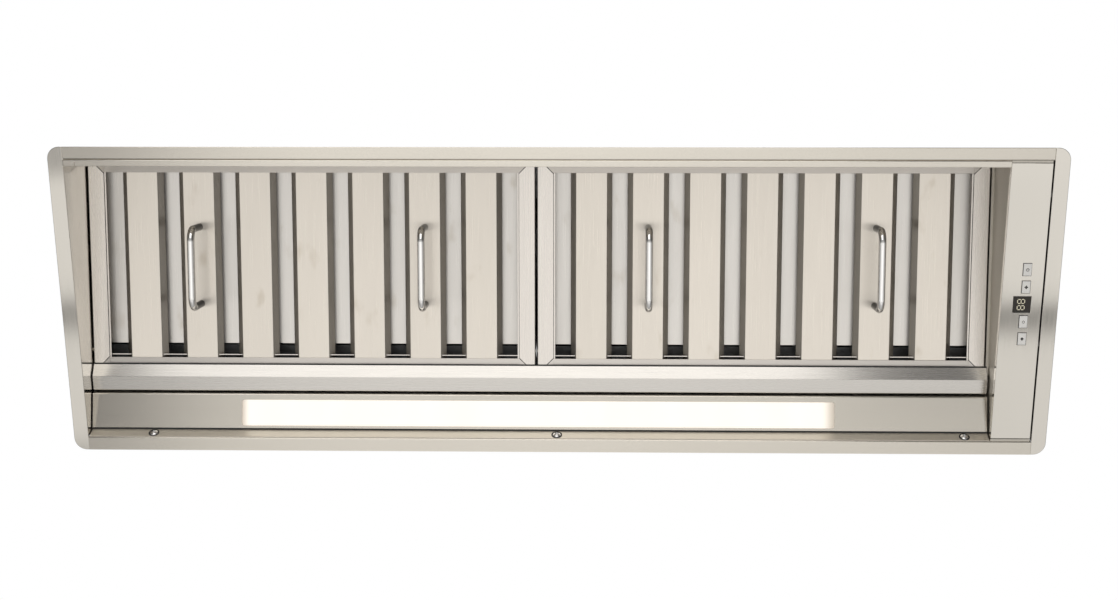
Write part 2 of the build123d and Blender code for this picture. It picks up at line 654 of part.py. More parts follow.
def pivot_bracket():
    """Plate in the seam, welded under the pivot rail, down to the pin."""
    high = PIVOT_RAIL_Z - PIVOT_RAIL_SHEET
    front = PIVOT_Y - BRACKET_R
    back = PIVOT_Y + BRACKET_BACK
    tab = Pos(PIVOT_Y, PIVOT_Z) * Circle(BRACKET_R)
    plate = outline([(front, PIVOT_Z), (front, high), (back, high), (PIVOT_Y + BRACKET_R, PIVOT_Z)])
    hole = Pos(PIVOT_Y, PIVOT_Z) * Circle(PIVOT_R)
    half = BRACKET_SHEET / 2
    return along_x(tab + plate - hole, SEAM_X - half, SEAM_X + half)


def pivot_rail():
    """Angle over the filters' rear ends, standing on the light housing."""
    section = bent(
        [
            (HOUSING_FRONT, PIVOT_RAIL_Z - PIVOT_RAIL_LEG),
            (HOUSING_FRONT, PIVOT_RAIL_Z),
            (PIVOT_Y + PIVOT_RAIL_FRONT, PIVOT_RAIL_Z),
        ],
        PIVOT_RAIL_SHEET,
    )
    return along_x(section, INNER_LEFT, CHEEK_X) + pivot_bracket()


def stop_rail():
    """Angle on the front wall that the filters' front ends close against."""
    foot = STOP_RAIL_Z - STOP_RAIL_LEG
    top = wall_y(STOP_RAIL_Z)
    edge = (top + STOP_RAIL_DEPTH, STOP_RAIL_Z)
    section = bent([(wall_y(foot), foot), (top, STOP_RAIL_Z), edge], -STOP_RAIL_SHEET)
    return along_x(section, INNER_LEFT, CHEEK_X)


def magnets():
    """Blocks under the stop rail, their lower faces parallel to the filters' tops."""
    over = FILTER_THICK + MAGNET_GAP
    a = filter_point(MAGNET_START, over)
    b = filter_point(MAGNET_START + MAGNET_DEPTH, over)
    top = STOP_RAIL_Z - STOP_RAIL_SHEET
    section = outline([a, b, (b[0], top), (a[0], top)])
    offset = FILTER_WIDTH / 2 - MAGNET_INSET
    places = [x + side * offset for x in (LEFT_FILTER_X, RIGHT_FILTER_X) for side in (-1, 1)]
    return [along_x(section, x - MAGNET_LENGTH / 2, x + MAGNET_LENGTH / 2) for x in places]


# ---------------------------------------------------------------- grease tray
def grease_tray():
    """Trough under the filters' rear ends, with an end plate welded in at each end."""
    section = bent([(LIP_Y, LIP_Z), NOSE, TRAY_BACK, (TRAY_BACK[0], TRAY_TOP_Z)], THIN_SHEET)
    tray = along_x(section, TRAY_LEFT, TRAY_RIGHT)
    drop = 2 * THIN_SHEET
    front = LIP_Y + drop * TRAY_NOSE[0] / TRAY_NOSE[1]
    corners = [(front, LIP_Z - drop), NOSE, TRAY_BACK, (TRAY_BACK[0], LIP_Z - drop)]
    outside = BEND_R + THIN_SHEET
    end = rounded([(Vector(*corner), radius) for corner, radius in zip(corners, (0, outside, outside, 0))])
    tray = tray + along_x(end, TRAY_LEFT, TRAY_LEFT + THIN_SHEET)
    return tray + along_x(end, TRAY_RIGHT - THIN_SHEET, TRAY_RIGHT)


def tray_clips():
    """Leaf clips on the light housing that press on the tray's back wall."""
    clips = []
    top = TRAY_TOP_Z
    for x in (LIGHT_LEFT + CLIP_INSET, LIGHT_RIGHT - CLIP_INSET):
        low_x = x - CLIP_WIDTH / 2
        high_x = x + CLIP_WIDTH / 2
        leaf = block((low_x, HOUSING_FRONT - CLIP_SHEET, top - CLIP_HEIGHT), (high_x, HOUSING_FRONT, top))
        reach = HOUSING_FRONT - CLIP_SHEET - TRAY_BACK[0] - CLIP_GAP
        middle = top - CLIP_HEIGHT / 2
        y = HOUSING_FRONT - CLIP_SHEET
        nib = outline([(y, middle - 2 * reach), (y - reach, middle), (y, middle + 2 * reach)])
        clips.append(leaf + along_x(nib, low_x, high_x))
    return clips


# ---------------------------------------------------------------- light
def on_light(piece):
    """Place a piece made in the light panel's frame: X across, Y back from its edge, Z up off its face."""
    plane = Plane((DIFFUSER_X, LIGHT_FRONT, LIGHT_FRONT_Z), x_dir=(1, 0, 0), z_dir=(0, *LIGHT_UP))
    return plane.location * piece


def diffuser_face(extra):
    """Rounded outline of the diffuser, grown by extra on each side."""
    middle = DIFFUSER_FROM_FRONT + DIFFUSER_WIDTH / 2
    size = (DIFFUSER_LENGTH + 2 * extra, DIFFUSER_WIDTH + 2 * extra)
    return Pos(0, middle) * RectangleRounded(*size, DIFFUSER_CORNER)


def light_panel():
    """Sloping panel with the diffuser's slot and a turned-up front edge."""
    section = bent(
        [(LIGHT_FRONT, LIGHT_FRONT_Z + LIGHT_TURN), (LIGHT_FRONT, LIGHT_FRONT_Z), (LIGHT_REAR, LIGHT_REAR_Z)],
        THIN_SHEET,
    )
    panel = along_x(section, LIGHT_LEFT, LIGHT_RIGHT)
    return panel - on_light(along_z(diffuser_face(SHAFT_GAP), -THIN_SHEET, 2 * THIN_SHEET))


def light_diffuser():
    """Frosted bar with a ledge behind the panel and two posts that carry the light board."""
    bar = along_z(diffuser_face(0), 0, THIN_SHEET)
    ledge = along_z(diffuser_face(DIFFUSER_LEDGE), THIN_SHEET, DIFFUSER_THICK)
    middle = DIFFUSER_FROM_FRONT + DIFFUSER_WIDTH / 2
    high = DIFFUSER_THICK + LIGHT_BOARD_GAP
    for side in (-1, 1):
        x = side * (DIFFUSER_LENGTH / 2 - DIFFUSER_LEDGE)
        low = (x - THIN_SHEET, middle - LIGHT_BOARD_WIDTH / 2, THIN_SHEET)
        ledge = ledge + block(low, (x + THIN_SHEET, middle + LIGHT_BOARD_WIDTH / 2, high))
    return on_light(bar + ledge)


def light_board():
    """Circuit strip with its row of emitters facing the diffuser."""
    middle = DIFFUSER_FROM_FRONT + DIFFUSER_WIDTH / 2
    low = DIFFUSER_THICK + LIGHT_BOARD_GAP
    half = DIFFUSER_LENGTH / 2
    half_width = LIGHT_BOARD_WIDTH / 2
    strip = block((-half, middle - half_width, low), (half, middle + half_width, low + BOARD_THICK))
    step = DIFFUSER_LENGTH / LED_COUNT
    for i in range(LED_COUNT):
        x = -half + (i + 0.5) * step
        emitter = (x - LED_SIZE / 2, middle - LED_SIZE / 2, low - LED_HEIGHT)
        strip = strip + block(emitter, (x + LED_SIZE / 2, middle + LED_SIZE / 2, low))
    return on_light(strip)


def light_housing():
    """Cover over the lamp: front wall behind the panel's turned edge, and a top to the rear wall."""
    section = bent(
        [
            (HOUSING_FRONT, LIGHT_FRONT_Z + 2 * THIN_SHEET),
            (HOUSING_FRONT, LIGHT_HOUSING_Z),
            (INNER_REAR, LIGHT_HOUSING_Z),
        ],
        -SHEET,
    )
    return along_x(section, LIGHT_LEFT, LIGHT_RIGHT)


def light_driver():
    """Power supply brick hung from the lamp housing's top."""
    length, width, height = DRIVER_SIZE
    top = LIGHT_HOUSING_Z - SHEET
    middle = (HOUSING_FRONT + INNER_REAR) / 2
    x = LIGHT_LEFT + DRIVER_INSET
    return block((x - length / 2, middle - width / 2, top - height), (x + length / 2, middle + width / 2, top))


# ---------------------------------------------------------------- controls
def control_panel():
    """Shallow pan with square holes for the buttons and the window."""
    outside = block((PANEL_LEFT, PANEL_FRONT, PANEL_LIFT), (PANEL_RIGHT, PANEL_REAR, PANEL_LIFT + PANEL_EDGE))
    inside = block(
        (PANEL_LEFT + SHEET, PANEL_FRONT + SHEET, PANEL_TOP),
        (PANEL_RIGHT - SHEET, PANEL_REAR - SHEET, PANEL_LIFT + 2 * PANEL_EDGE),
    )
    pan = outside - inside
    for y in BUTTON_Y.values():
        pan = pan - hole_block(BUTTON_X, y, BUTTON_SIZE, BUTTON_GAP)
    return pan - hole_block(WINDOW_X, WINDOW_Y, WINDOW_SIZE, SHAFT_GAP)


def hole_block(x, y, size, gap):
    """Square cutter through the control panel's sheet."""
    half_x = size[0] / 2 + gap
    half_y = size[1] / 2 + gap
    return block((x - half_x, y - half_y, 0), (x + half_x, y + half_y, PANEL_TOP + SHEET))


def button(y):
    """Cap, retaining edge behind the panel, and the stem that meets the switch."""
    half_x, half_y = BUTTON_SIZE[0] / 2, BUTTON_SIZE[1] / 2
    edge_low = PANEL_TOP + BUTTON_BOTTOM
    edge_high = edge_low + SHEET
    cap = block((BUTTON_X - half_x, y - half_y, BUTTON_BOTTOM), (BUTTON_X + half_x, y + half_y, edge_low))
    cap = chamfer(cap.faces().sort_by(Axis.Z)[0].edges(), BUTTON_EDGE)
    edge_x, edge_y = half_x + BUTTON_RETAINER, half_y + BUTTON_RETAINER
    edge = block((BUTTON_X - edge_x, y - edge_y, edge_low), (BUTTON_X + edge_x, y + edge_y, edge_high))
    return cap + edge + rod((BUTTON_X, y, edge_high), STEM_R, STEM_LENGTH)


def display_window():
    """Dark window, flush in the panel, with a ledge behind it."""
    half_x, half_y = WINDOW_SIZE[0] / 2, WINDOW_SIZE[1] / 2
    pane = block(
        (WINDOW_X - half_x, WINDOW_Y - half_y, PANEL_LIFT), (WINDOW_X + half_x, WINDOW_Y + half_y, PANEL_TOP)
    )
    ledge_x, ledge_y = half_x + WINDOW_RETAINER, half_y + WINDOW_RETAINER
    ledge = block(
        (WINDOW_X - ledge_x, WINDOW_Y - ledge_y, PANEL_TOP),
        (WINDOW_X + ledge_x, WINDOW_Y + ledge_y, PANEL_TOP + THIN_SHEET),
    )
    return pane + ledge


def display_module():
    """Digit block between the window and the board."""
    half_x, half_y = WINDOW_SIZE[0] / 2, WINDOW_SIZE[1] / 2
    low = PANEL_TOP + THIN_SHEET
    return block((WINDOW_X - half_x, WINDOW_Y - half_y, low), (WINDOW_X + half_x, WINDOW_Y + half_y, BOARD_Z))


def control_board():
    """Circuit board with one push switch over each button."""
    width, length = CONTROL_BOARD_SIZE
    middle_x = (PANEL_LEFT + PANEL_RIGHT) / 2
    board = block(
        (middle_x - width / 2, WINDOW_Y - length / 2, BOARD_Z),
        (middle_x + width / 2, WINDOW_Y + length / 2, BOARD_Z + BOARD_THICK),
    )
    for y in BUTTON_Y.values():
        size = SWITCH_SIZE
        low = (BUTTON_X - size[0] / 2, y - size[1] / 2, SWITCH_Z)
        board = board + block(low, (low[0] + size[0], low[1] + size[1], BOARD_Z))
    return board


def board_posts():
    """Posts from the panel up to the board's corners."""
    width, length = CONTROL_BOARD_SIZE
    middle_x = (PANEL_LEFT + PANEL_RIGHT) / 2
    offset_x = width / 2 - 2 * POST_R
    offset_y = length / 2 - 2 * POST_R
    return [
        rod((middle_x + a * offset_x, WINDOW_Y + b * offset_y, PANEL_TOP), POST_R, BOARD_Z - PANEL_TOP)
        for a in (-1, 1)
        for b in (-1, 1)
    ]


def control_cheek():
    """Wall between the filters and the control cavity, its foot narrowed to stand inside the panel's edges."""
    shoulder = PANEL_LIFT + PANEL_EDGE + CHEEK_GAP
    inset = SHEET + CHEEK_GAP
    front = INNER_FRONT + THIN_SHEET
    wall = outline(
        [
            (front, shoulder),
            (front, WALL_BEND),
            (WALL_TOP_Y + THIN_SHEET, SHELL_HEIGHT),
            (INNER_REAR, SHELL_HEIGHT),
            (INNER_REAR, shoulder),
            (PANEL_REAR - inset, shoulder),
            (PANEL_REAR - inset, PANEL_TOP),
            (PANEL_FRONT + inset, PANEL_TOP),
            (PANEL_FRONT + inset, shoulder),
        ]
    )
    return along_x(wall, CHEEK_X, CHEEK_X + SHEET)


# ---------------------------------------------------------------- top panel and blower box
def intake():
    """Cutter for the air intake under the blower box."""
    half = BOX_WIDTH / 2 - INTAKE_MARGIN
    front, rear = BOX_FRONT_Y + INTAKE_MARGIN, BOX_REAR_Y - INTAKE_MARGIN
    return block((-half, front, SHELL_HEIGHT - SHEET), (half, rear, TOP + SHEET))


def top_panel():
    low = (INNER_LEFT - SHEET, WALL_TOP_Y - SHEET, SHELL_HEIGHT)
    panel = block(low, (INNER_RIGHT + SHEET, INNER_REAR + SHEET, TOP)) - intake()
    for x, y in HANGERS:
        panel = panel - rod((x, y, SHELL_HEIGHT - SHEET), HANGER_R, 3 * SHEET)
    return panel - rod((CONDUIT_X, CONDUIT_Y, SHELL_HEIGHT - SHEET), CONDUIT_R, 3 * SHEET)


def blower_box():
    """Four walls with a foot turned outward round the bottom."""
    half = BOX_WIDTH / 2
    outside = block((-half, BOX_FRONT_Y, TOP), (half, BOX_REAR_Y, BOX_TOP))
    low = (-half + SHEET, BOX_FRONT_Y + SHEET, TOP - SHEET)
    inside = block(low, (half - SHEET, BOX_REAR_Y - SHEET, BOX_TOP + SHEET))
    foot = block(
        (-half - BOX_FOOT, BOX_FRONT_Y - BOX_FOOT, TOP), (half + BOX_FOOT, BOX_REAR_Y + BOX_FOOT, TOP + SHEET)
    )
    return outside + foot - inside


def blower_lid():
    """Flat lid with the scroll's outlet cut through it."""
    half = BOX_WIDTH / 2
    lid = block((-half, BOX_FRONT_Y, BOX_TOP), (half, BOX_REAR_Y, LID_TOP))
    outlet = SCROLL_WIDTH / 2
    front, rear = WHEEL_Y + OUTLET_FRONT, WHEEL_Y + OUTLET_REAR
    return lid - block((-outlet, front, BOX_TOP - SHEET), (outlet, rear, LID_TOP + SHEET))


def duct_collar():
    """Round spigot with a foot ring, a stop bead, two flap stops and holes for the rod."""
    foot = rod((0, COLLAR_Y, LID_TOP), COLLAR_R + COLLAR_FOOT, SHEET)
    tube = rod((0, COLLAR_Y, LID_TOP), COLLAR_R, SHEET + COLLAR_HEIGHT)
    crest = COLLAR_R + COLLAR_BEAD
    ridge = outline(
        [
            (COLLAR_R, -2 * COLLAR_BEAD),
            (crest, -COLLAR_BEAD / 2),
            (crest, COLLAR_BEAD / 2),
            (COLLAR_R, 2 * COLLAR_BEAD),
            (COLLAR_R - THIN_SHEET / 2, 0),
        ]
    )
    bead = Pos(0, COLLAR_Y, COLLAR_FOOT_TOP + COLLAR_BEAD_Z) * revolve(Plane.XZ * ridge, Axis.Z)
    bore = rod((0, COLLAR_Y, LID_TOP - SHEET), COLLAR_R - THIN_SHEET, COLLAR_HEIGHT + 3 * SHEET)
    collar = foot + tube + bead - bore
    length, depth, height = FLAP_STOP
    top = ROD_Z - THIN_SHEET / 2
    edge = COLLAR_R - THIN_SHEET
    ring = rod((0, COLLAR_Y, top - height), edge + THIN_SHEET / 2, height)
    for side in (-1, 1):
        stop = Pos(0, COLLAR_Y + side * edge, top - height / 2) * Box(length, 2 * depth, height)
        collar = collar + (stop & ring)
    return collar - rod_x(-crest, crest, COLLAR_Y, ROD_Z, ROD_R)


def damper_rod():
    reach = COLLAR_R - THIN_SHEET / 4
    return rod_x(-reach, reach, COLLAR_Y, ROD_Z, ROD_R)


def flap(name, side):
    """Half disc with two knuckles round the rod; side is -1 for the front half and 1 for the rear."""
    radius = COLLAR_R - THIN_SHEET - FLAP_GAP
    half = THIN_SHEET / 2
    disc = rod((0, COLLAR_Y, ROD_Z - half), radius, THIN_SHEET)
    low = COLLAR_Y + (FLAP_ROOT if side > 0 else -2 * radius)
    high = COLLAR_Y + (2 * radius if side > 0 else -FLAP_ROOT)
    plate = disc & block((-radius, low, ROD_Z - half), (radius, high, ROD_Z + half))
    notch = KNUCKLE_GAP + KNUCKLE_LENGTH / 2
    for x in KNUCKLES[name]:
        x0 = x - KNUCKLE_LENGTH / 2
        x1 = x + KNUCKLE_LENGTH / 2
        plate = plate + rod_x(x0, x1, COLLAR_Y, ROD_Z, KNUCKLE_R)
        tab = sorted((COLLAR_Y, COLLAR_Y + side * (FLAP_ROOT + THIN_SHEET)))
        plate = plate + block((x0, tab[0], ROD_Z - half), (x1, tab[1], ROD_Z + half))
    for x in KNUCKLES["rear_flap" if name == "front_flap" else "front_flap"]:
        reach = KNUCKLE_R + KNUCKLE_GAP
        low, high = (x - notch, COLLAR_Y - reach, ROD_Z - reach), (x + notch, COLLAR_Y + reach, ROD_Z + reach)
        plate = plate - block(low, high)
    return plate - rod_x(-COLLAR_R, COLLAR_R, COLLAR_Y, ROD_Z, ROD_R + KNUCKLE_CLEARANCE)


# ---------------------------------------------------------------- blower
def scroll_arcs(extra):
    """The scroll's four arcs round the wheel, grown outward by extra, from the tongue to the outlet."""
    half = SCROLL_STEP / 2
    radius = SCROLL_R - SCROLL_STEP + extra
    centres = [(-half, half), (-half, -half), (half, -half), (half, half)]
    start = TONGUE_ANGLE
    arcs = []
    for i, centre in enumerate(centres):
        end = 90.0 * (i + 1)
        arcs.append(CenterArc(centre, radius + i * SCROLL_STEP, start, end - start))
        start = end
    return arcs


def scroll_outline(extra):
    """Closed face inside the scroll and its outlet."""
    arcs = scroll_arcs(extra)
    tongue = arcs[0] @ 0
    outlet = arcs[-1] @ 1
    edges = [
        Line((tongue.X, SCROLL_TOP), tongue),
        *arcs,
        Line(outlet, (outlet.X, SCROLL_TOP)),
        Line((outlet.X, SCROLL_TOP), (tongue.X, SCROLL_TOP)),
    ]
    return make_face(edges)


def scroll_wrapper():
    """The scroll's curved wall, open at the outlet."""
    half = SCROLL_WIDTH / 2
    inner = scroll_outline(0)
    section = scroll_outline(SHEET) - inner + scroll_tongue()
    return Pos(0, WHEEL_Y, WHEEL_Z) * along_x(section, -half, half)


def scroll_tongue():
    """Strip beside the outlet, from the tongue up to the box's top."""
    tongue = scroll_arcs(0)[0] @ 0
    low, high = (tongue.X - SHEET, tongue.Y), (tongue.X, SCROLL_TOP)
    return outline([low, (high[0], low[1]), high, (low[0], high[1])])


def scroll_sides():
    """Two side plates with round inlets."""
    half = SCROLL_WIDTH / 2
    section = scroll_outline(SHEET) + scroll_tongue() - Circle(INLET_R + SHEET)
    return [
        Pos(0, WHEEL_Y, WHEEL_Z) * along_x(section, -half - SHEET, -half),
        Pos(0, WHEEL_Y, WHEEL_Z) * along_x(section, half, half + SHEET),
    ]


def inlet_rings():
    """Bell-mouthed rings that lead the air into the wheel."""
    face = SCROLL_WIDTH / 2 + SHEET
    outer = INLET_R + INLET_RING
    bend = face + SHEET
    throat = face - INLET_DEPTH
    mouth = INLET_R + INLET_DEPTH
    middle = (bend + throat) / 2
    ring = outline(
        [
            (face, outer),
            (bend, outer),
            (bend, mouth),
            (middle, INLET_R + THIN_SHEET),
            (throat, INLET_R - SHEET),
            (throat, INLET_R),
            (face, INLET_R + SHEET),
        ]
    )
    ring = revolve(ring, Axis.X)
    right = Pos(0, WHEEL_Y, WHEEL_Z) * ring
    return [mirror(right, Plane.YZ), right]


def impeller():
    """Double-inlet wheel: middle disc with a hub, forward-curved blades and two end rings."""
    half = WHEEL_WIDTH / 2
    disc = rod_x(-THIN_SHEET, THIN_SHEET, 0, 0, WHEEL_R)
    wheel = disc + rod_x(-HUB_LENGTH / 2, HUB_LENGTH / 2, 0, 0, HUB_R)
    middle = (WHEEL_R + WHEEL_INNER_R) / 2
    spine = [(WHEEL_INNER_R, 0), (middle, BLADE_BOW), (WHEEL_R - THIN_SHEET, 0)]
    blade = outline([*spine, *[(y, z - BLADE_THICK) for y, z in reversed(spine)]])
    one = along_x(blade, -half, half)
    wheel = wheel + [Rot(i * 360 / BLADES, 0, 0) * one for i in range(BLADES)]
    for x in (-half, half - WHEEL_RING):
        hole = rod_x(x - WHEEL_RING, x + 2 * WHEEL_RING, 0, 0, WHEEL_R - WHEEL_RING)
        wheel = wheel + (rod_x(x, x + WHEEL_RING, 0, 0, WHEEL_R) - hole)
    wheel = wheel - rod_x(-HUB_LENGTH, HUB_LENGTH, 0, 0, SHAFT_R)
    return Pos(0, WHEEL_Y, WHEEL_Z) * wheel


def motor_shaft():
    return rod_x(SHAFT_START, MOTOR_X + SHAFT_BITE, WHEEL_Y, WHEEL_Z, SHAFT_R)


def motor():
    """Closed motor can with a stepped end and a bore for the shaft."""
    body = rod_x(MOTOR_X, MOTOR_X + MOTOR_LENGTH, WHEEL_Y, WHEEL_Z, MOTOR_R)
    body = chamfer(body.edges().filter_by(GeomType.CIRCLE), MOTOR_EDGE)
    boss = rod_x(MOTOR_X - ARM_THICK, MOTOR_X, WHEEL_Y, WHEEL_Z, 2 * HUB_R)
    bore_end = MOTOR_X + SHAFT_BITE + SHAFT_END_GAP
    return body + boss - rod_x(MOTOR_X - 2 * ARM_THICK, bore_end, WHEEL_Y, WHEEL_Z, SHAFT_R + SHAFT_GAP)


def motor_bracket():
    """Ring on the motor's face and three arms down to the inlet ring."""
    ring_r = MOTOR_R - ARM_RING_INSET
    hole = rod_x(MOTOR_X - 2 * ARM_THICK, MOTOR_X + ARM_THICK, 0, 0, 2 * HUB_R)
    ring = rod_x(MOTOR_X - ARM_THICK, MOTOR_X, 0, 0, ring_r) - hole
    foot = INLET_R + INLET_RING
    turns = [(foot, RING_FACE), (foot - ARM_FOOT, RING_FACE), (ring_r - ARM_LAP, MOTOR_X - ARM_THICK)]
    arm = bent(turns, -ARM_THICK)
    plane = Plane((0, -ARM_WIDTH / 2, 0), x_dir=(0, 0, 1), z_dir=(0, 1, 0))
    solid = extrude(plane * arm, ARM_WIDTH)
    for i in range(3):
        ring = ring + Rot(i * 120, 0, 0) * solid
    return Pos(0, WHEEL_Y, WHEEL_Z) * ring


# ---------------------------------------------------------------- wiring and fasteners
def wiring_box():
    """Open-topped box for the mains connection."""
    top = TOP + WIRING_HEIGHT
    box = wiring_core(0, TOP, top) - wiring_core(SHEET, TOP + SHEET, top + SHEET)
    wall = (WIRING_X[1] - 2 * SHEET, WIRING_X[1] + 2 * SHEET)
    box = box - rod_x(*wall, GLAND_Y, TOP + GLAND_Z, GLAND_R)
    return box - rod_x(*wall, CONDUIT_Y, TOP + CONDUIT_Z, CONDUIT_R)


def wiring_core(inset, low, high):
    """Block inside the wiring box, held back from its walls' outer faces by an inset."""
    return block(
        (WIRING_X[0] + inset, WIRING_Y[0] + inset, low), (WIRING_X[1] - inset, WIRING_Y[1] - inset, high)
    )


def wiring_cover():
    """Lid with a lip turned down inside the box."""
    top = TOP + WIRING_HEIGHT
    lid = block((WIRING_X[0], WIRING_Y[0], top), (WIRING_X[1], WIRING_Y[1], top + SHEET))
    lip = wiring_core(SHEET, top - COVER_LIP, top) - wiring_core(2 * SHEET, top - 2 * COVER_LIP, top)
    return lid + lip


def cable_gland():
    """Body through the wall, hexagon, and a tapered cap with the cable's hole."""
    x = WIRING_X[1]
    z = TOP + GLAND_Z
    hexagon = Pos(GLAND_Y, z) * RegularPolygon(GLAND_HEX / 2, 6, major_radius=False)
    inside, shoulder, end = x - GLAND_INSIDE, x + GLAND_HEX_THICK, x + GLAND_LENGTH
    cap = rod_x(shoulder, end, GLAND_Y, z, GLAND_CAP_R)
    cap = chamfer(cap.edges().sort_by(Axis.X)[-1], GLAND_R - GLAND_HOLE_R)
    gland = along_x(hexagon, x, shoulder) + rod_x(inside, x, GLAND_Y, z, GLAND_R) + cap
    return gland - rod_x(inside - SHEET, end + SHEET, GLAND_Y, z, GLAND_HOLE_R)


def control_conduit():
    """Conduit from the control cavity, up through the top panel and across to the wiring box."""
    z = TOP + CONDUIT_Z
    start = (CONDUIT_X, CONDUIT_Y, SHELL_HEIGHT - CONDUIT_DIP)
    path = FilletPolyline(
        start, (CONDUIT_X, CONDUIT_Y, z), (WIRING_X[1] - SHEET, CONDUIT_Y, z), radius=CONDUIT_BEND
    )
    return sweep(Plane(start, z_dir=(0, 0, 1)) * RegularPolygon(CONDUIT_R, HANDLE_SIDES), path)


def screw_heads(places, z):
    """Hexagon heads with a washer face, standing on a face that looks up."""
    washer = RegularPolygon(WASHER_R, WASHER_SIDES)
    head = RegularPolygon(SCREW_FLATS / 2, 6, major_radius=False)
    screw = along_z(washer, 0, WASHER_THICK) + along_z(head, WASHER_THICK, SCREW_HEAD)
    return [Pos(x, y, z) * screw for x, y in places]


def spread(low, high, count):
    """Evenly spaced values from low to high."""
    return [low + (high - low) * i / (count - 1) for i in range(count)]


def casing_screws():
    """Screw heads on the top panel's edges, the blower box's foot, its lid and the collar's foot."""
    half = BOX_WIDTH / 2 + BOX_FOOT / 2
    front = BOX_FRONT_Y - BOX_FOOT / 2
    rear = BOX_REAR_Y + BOX_FOOT / 2
    foot = [(x, y) for x in spread(-half, half, 4) for y in (front, rear)]
    foot += [(x, (BOX_FRONT_Y + BOX_REAR_Y) / 2) for x in (-half, half)]
    inset = SCREW_INSET
    lid_x = BOX_WIDTH / 2 - inset
    lid = [(x, y) for x in spread(-lid_x, lid_x, 4) for y in (BOX_FRONT_Y + inset, BOX_REAR_Y - inset)]
    ring = COLLAR_R + COLLAR_SCREW_OUT
    collar = [(ring * cos(radians(a)), COLLAR_Y + ring * sin(radians(a))) for a in (45, 135, 225, 315)]
    edge_y = (WALL_TOP_Y + inset, INNER_REAR - inset)
    edge_x = spread(BOX_WIDTH / 2 + PANEL_SCREW_FROM_BOX, INNER_RIGHT - inset, 3)
    panel = [(side * x, y) for side in (-1, 1) for x in edge_x for y in edge_y]
    return [
        *screw_heads(panel, TOP),
        *screw_heads(foot, TOP + SHEET),
        *screw_heads(lid, LID_TOP),
        *screw_heads(collar, COLLAR_FOOT_TOP),
    ]


# ---------------------------------------------------------------- write every node
os.makedirs("parts", exist_ok=True)

node("left_side_shell", side_shell(LEFT, INNER_LEFT))
node("right_side_shell", side_shell(RIGHT, INNER_RIGHT))
node("front_shell", front_shell())
node("rear_shell", rear_shell())
node("front_lip", front_lip())
node("rear_strip", rear_strip())
node("strip_screws", *strip_screws())
node("top_panel", top_panel())

write_filter("left", LEFT_FILTER_X)
write_filter("right", RIGHT_FILTER_X)
node("pivot_pins", *pivot_pins())
node("pivot_rail", pivot_rail())
node("stop_rail", stop_rail())
node("holding_magnets", *magnets())

node("grease_tray", grease_tray())
node("tray_clips", *tray_clips())

node("light_panel", light_panel())
node("light_diffuser", light_diffuser())
node("light_board", light_board())
node("light_housing", light_housing())
node("light_driver", light_driver())

node("control_cheek", control_cheek())
node("control_panel", control_panel())
node("display_window", display_window())
node("display_module", display_module())
node("control_board", control_board())
node("board_posts", *board_posts())
for name, y in BUTTON_Y.items():
    node(name, button(y))

node("blower_box", blower_box())
node("blower_lid", blower_lid())
node("duct_collar", duct_collar())
node("damper_rod", damper_rod())
node("front_flap", flap("front_flap", -1))
node("rear_flap", flap("rear_flap", 1))
node("scroll_wrapper", scroll_wrapper())
node("scroll_sides", *scroll_sides())
node("inlet_rings", *inlet_rings())
node("impeller_wheel", impeller())
node("motor_shaft", motor_shaft())
node("motor", motor())
node("motor_bracket", motor_bracket())

node("wiring_box", wiring_box())
node("wiring_cover", wiring_cover())
node("cable_gland", cable_gland())
node("control_conduit", control_conduit())
node("casing_screws", *casing_screws())
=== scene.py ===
"""Looks of a range hood insert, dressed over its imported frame.

Sizes here are millimetres; meshes are metres.
"""

import json
import math

import bmesh
import bpy
from bpy.props import BoolProperty, FloatProperty, FloatVectorProperty, IntProperty, PointerProperty
from mathutils import Matrix, Vector

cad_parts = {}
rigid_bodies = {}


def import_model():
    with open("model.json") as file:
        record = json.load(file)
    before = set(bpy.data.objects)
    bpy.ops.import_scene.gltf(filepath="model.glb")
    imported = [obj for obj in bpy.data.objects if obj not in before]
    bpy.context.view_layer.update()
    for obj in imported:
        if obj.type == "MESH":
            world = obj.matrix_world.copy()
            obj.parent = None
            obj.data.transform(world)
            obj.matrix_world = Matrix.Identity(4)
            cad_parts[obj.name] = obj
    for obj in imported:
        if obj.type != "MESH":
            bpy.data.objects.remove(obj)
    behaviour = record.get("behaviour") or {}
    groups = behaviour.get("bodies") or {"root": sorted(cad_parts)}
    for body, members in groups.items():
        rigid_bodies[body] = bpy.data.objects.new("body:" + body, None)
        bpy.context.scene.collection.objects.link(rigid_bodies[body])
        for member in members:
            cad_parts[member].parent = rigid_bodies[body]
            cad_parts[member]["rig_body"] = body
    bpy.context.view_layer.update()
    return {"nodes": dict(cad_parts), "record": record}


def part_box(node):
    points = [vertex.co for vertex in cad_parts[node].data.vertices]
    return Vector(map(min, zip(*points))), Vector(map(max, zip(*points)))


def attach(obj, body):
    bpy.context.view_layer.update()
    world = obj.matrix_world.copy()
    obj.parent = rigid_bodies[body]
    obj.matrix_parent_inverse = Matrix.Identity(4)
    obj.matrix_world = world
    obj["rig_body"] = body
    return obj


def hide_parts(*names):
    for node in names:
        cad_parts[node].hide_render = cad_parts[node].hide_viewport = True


bl_info = {
    "name": "Range Hood Insert",
    "version": (1, 0, 0),
    "blender": (4, 5, 0),
    "location": "View3D > Sidebar > Hood",
    "description": "Dresses the hood insert's frame in steel, chrome, light and controls",
    "category": "Object",
}

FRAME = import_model()
NODES = FRAME["nodes"]
MM = 0.001

# ---------------------------------------------------------------- places on the frame
LINER = "liner"

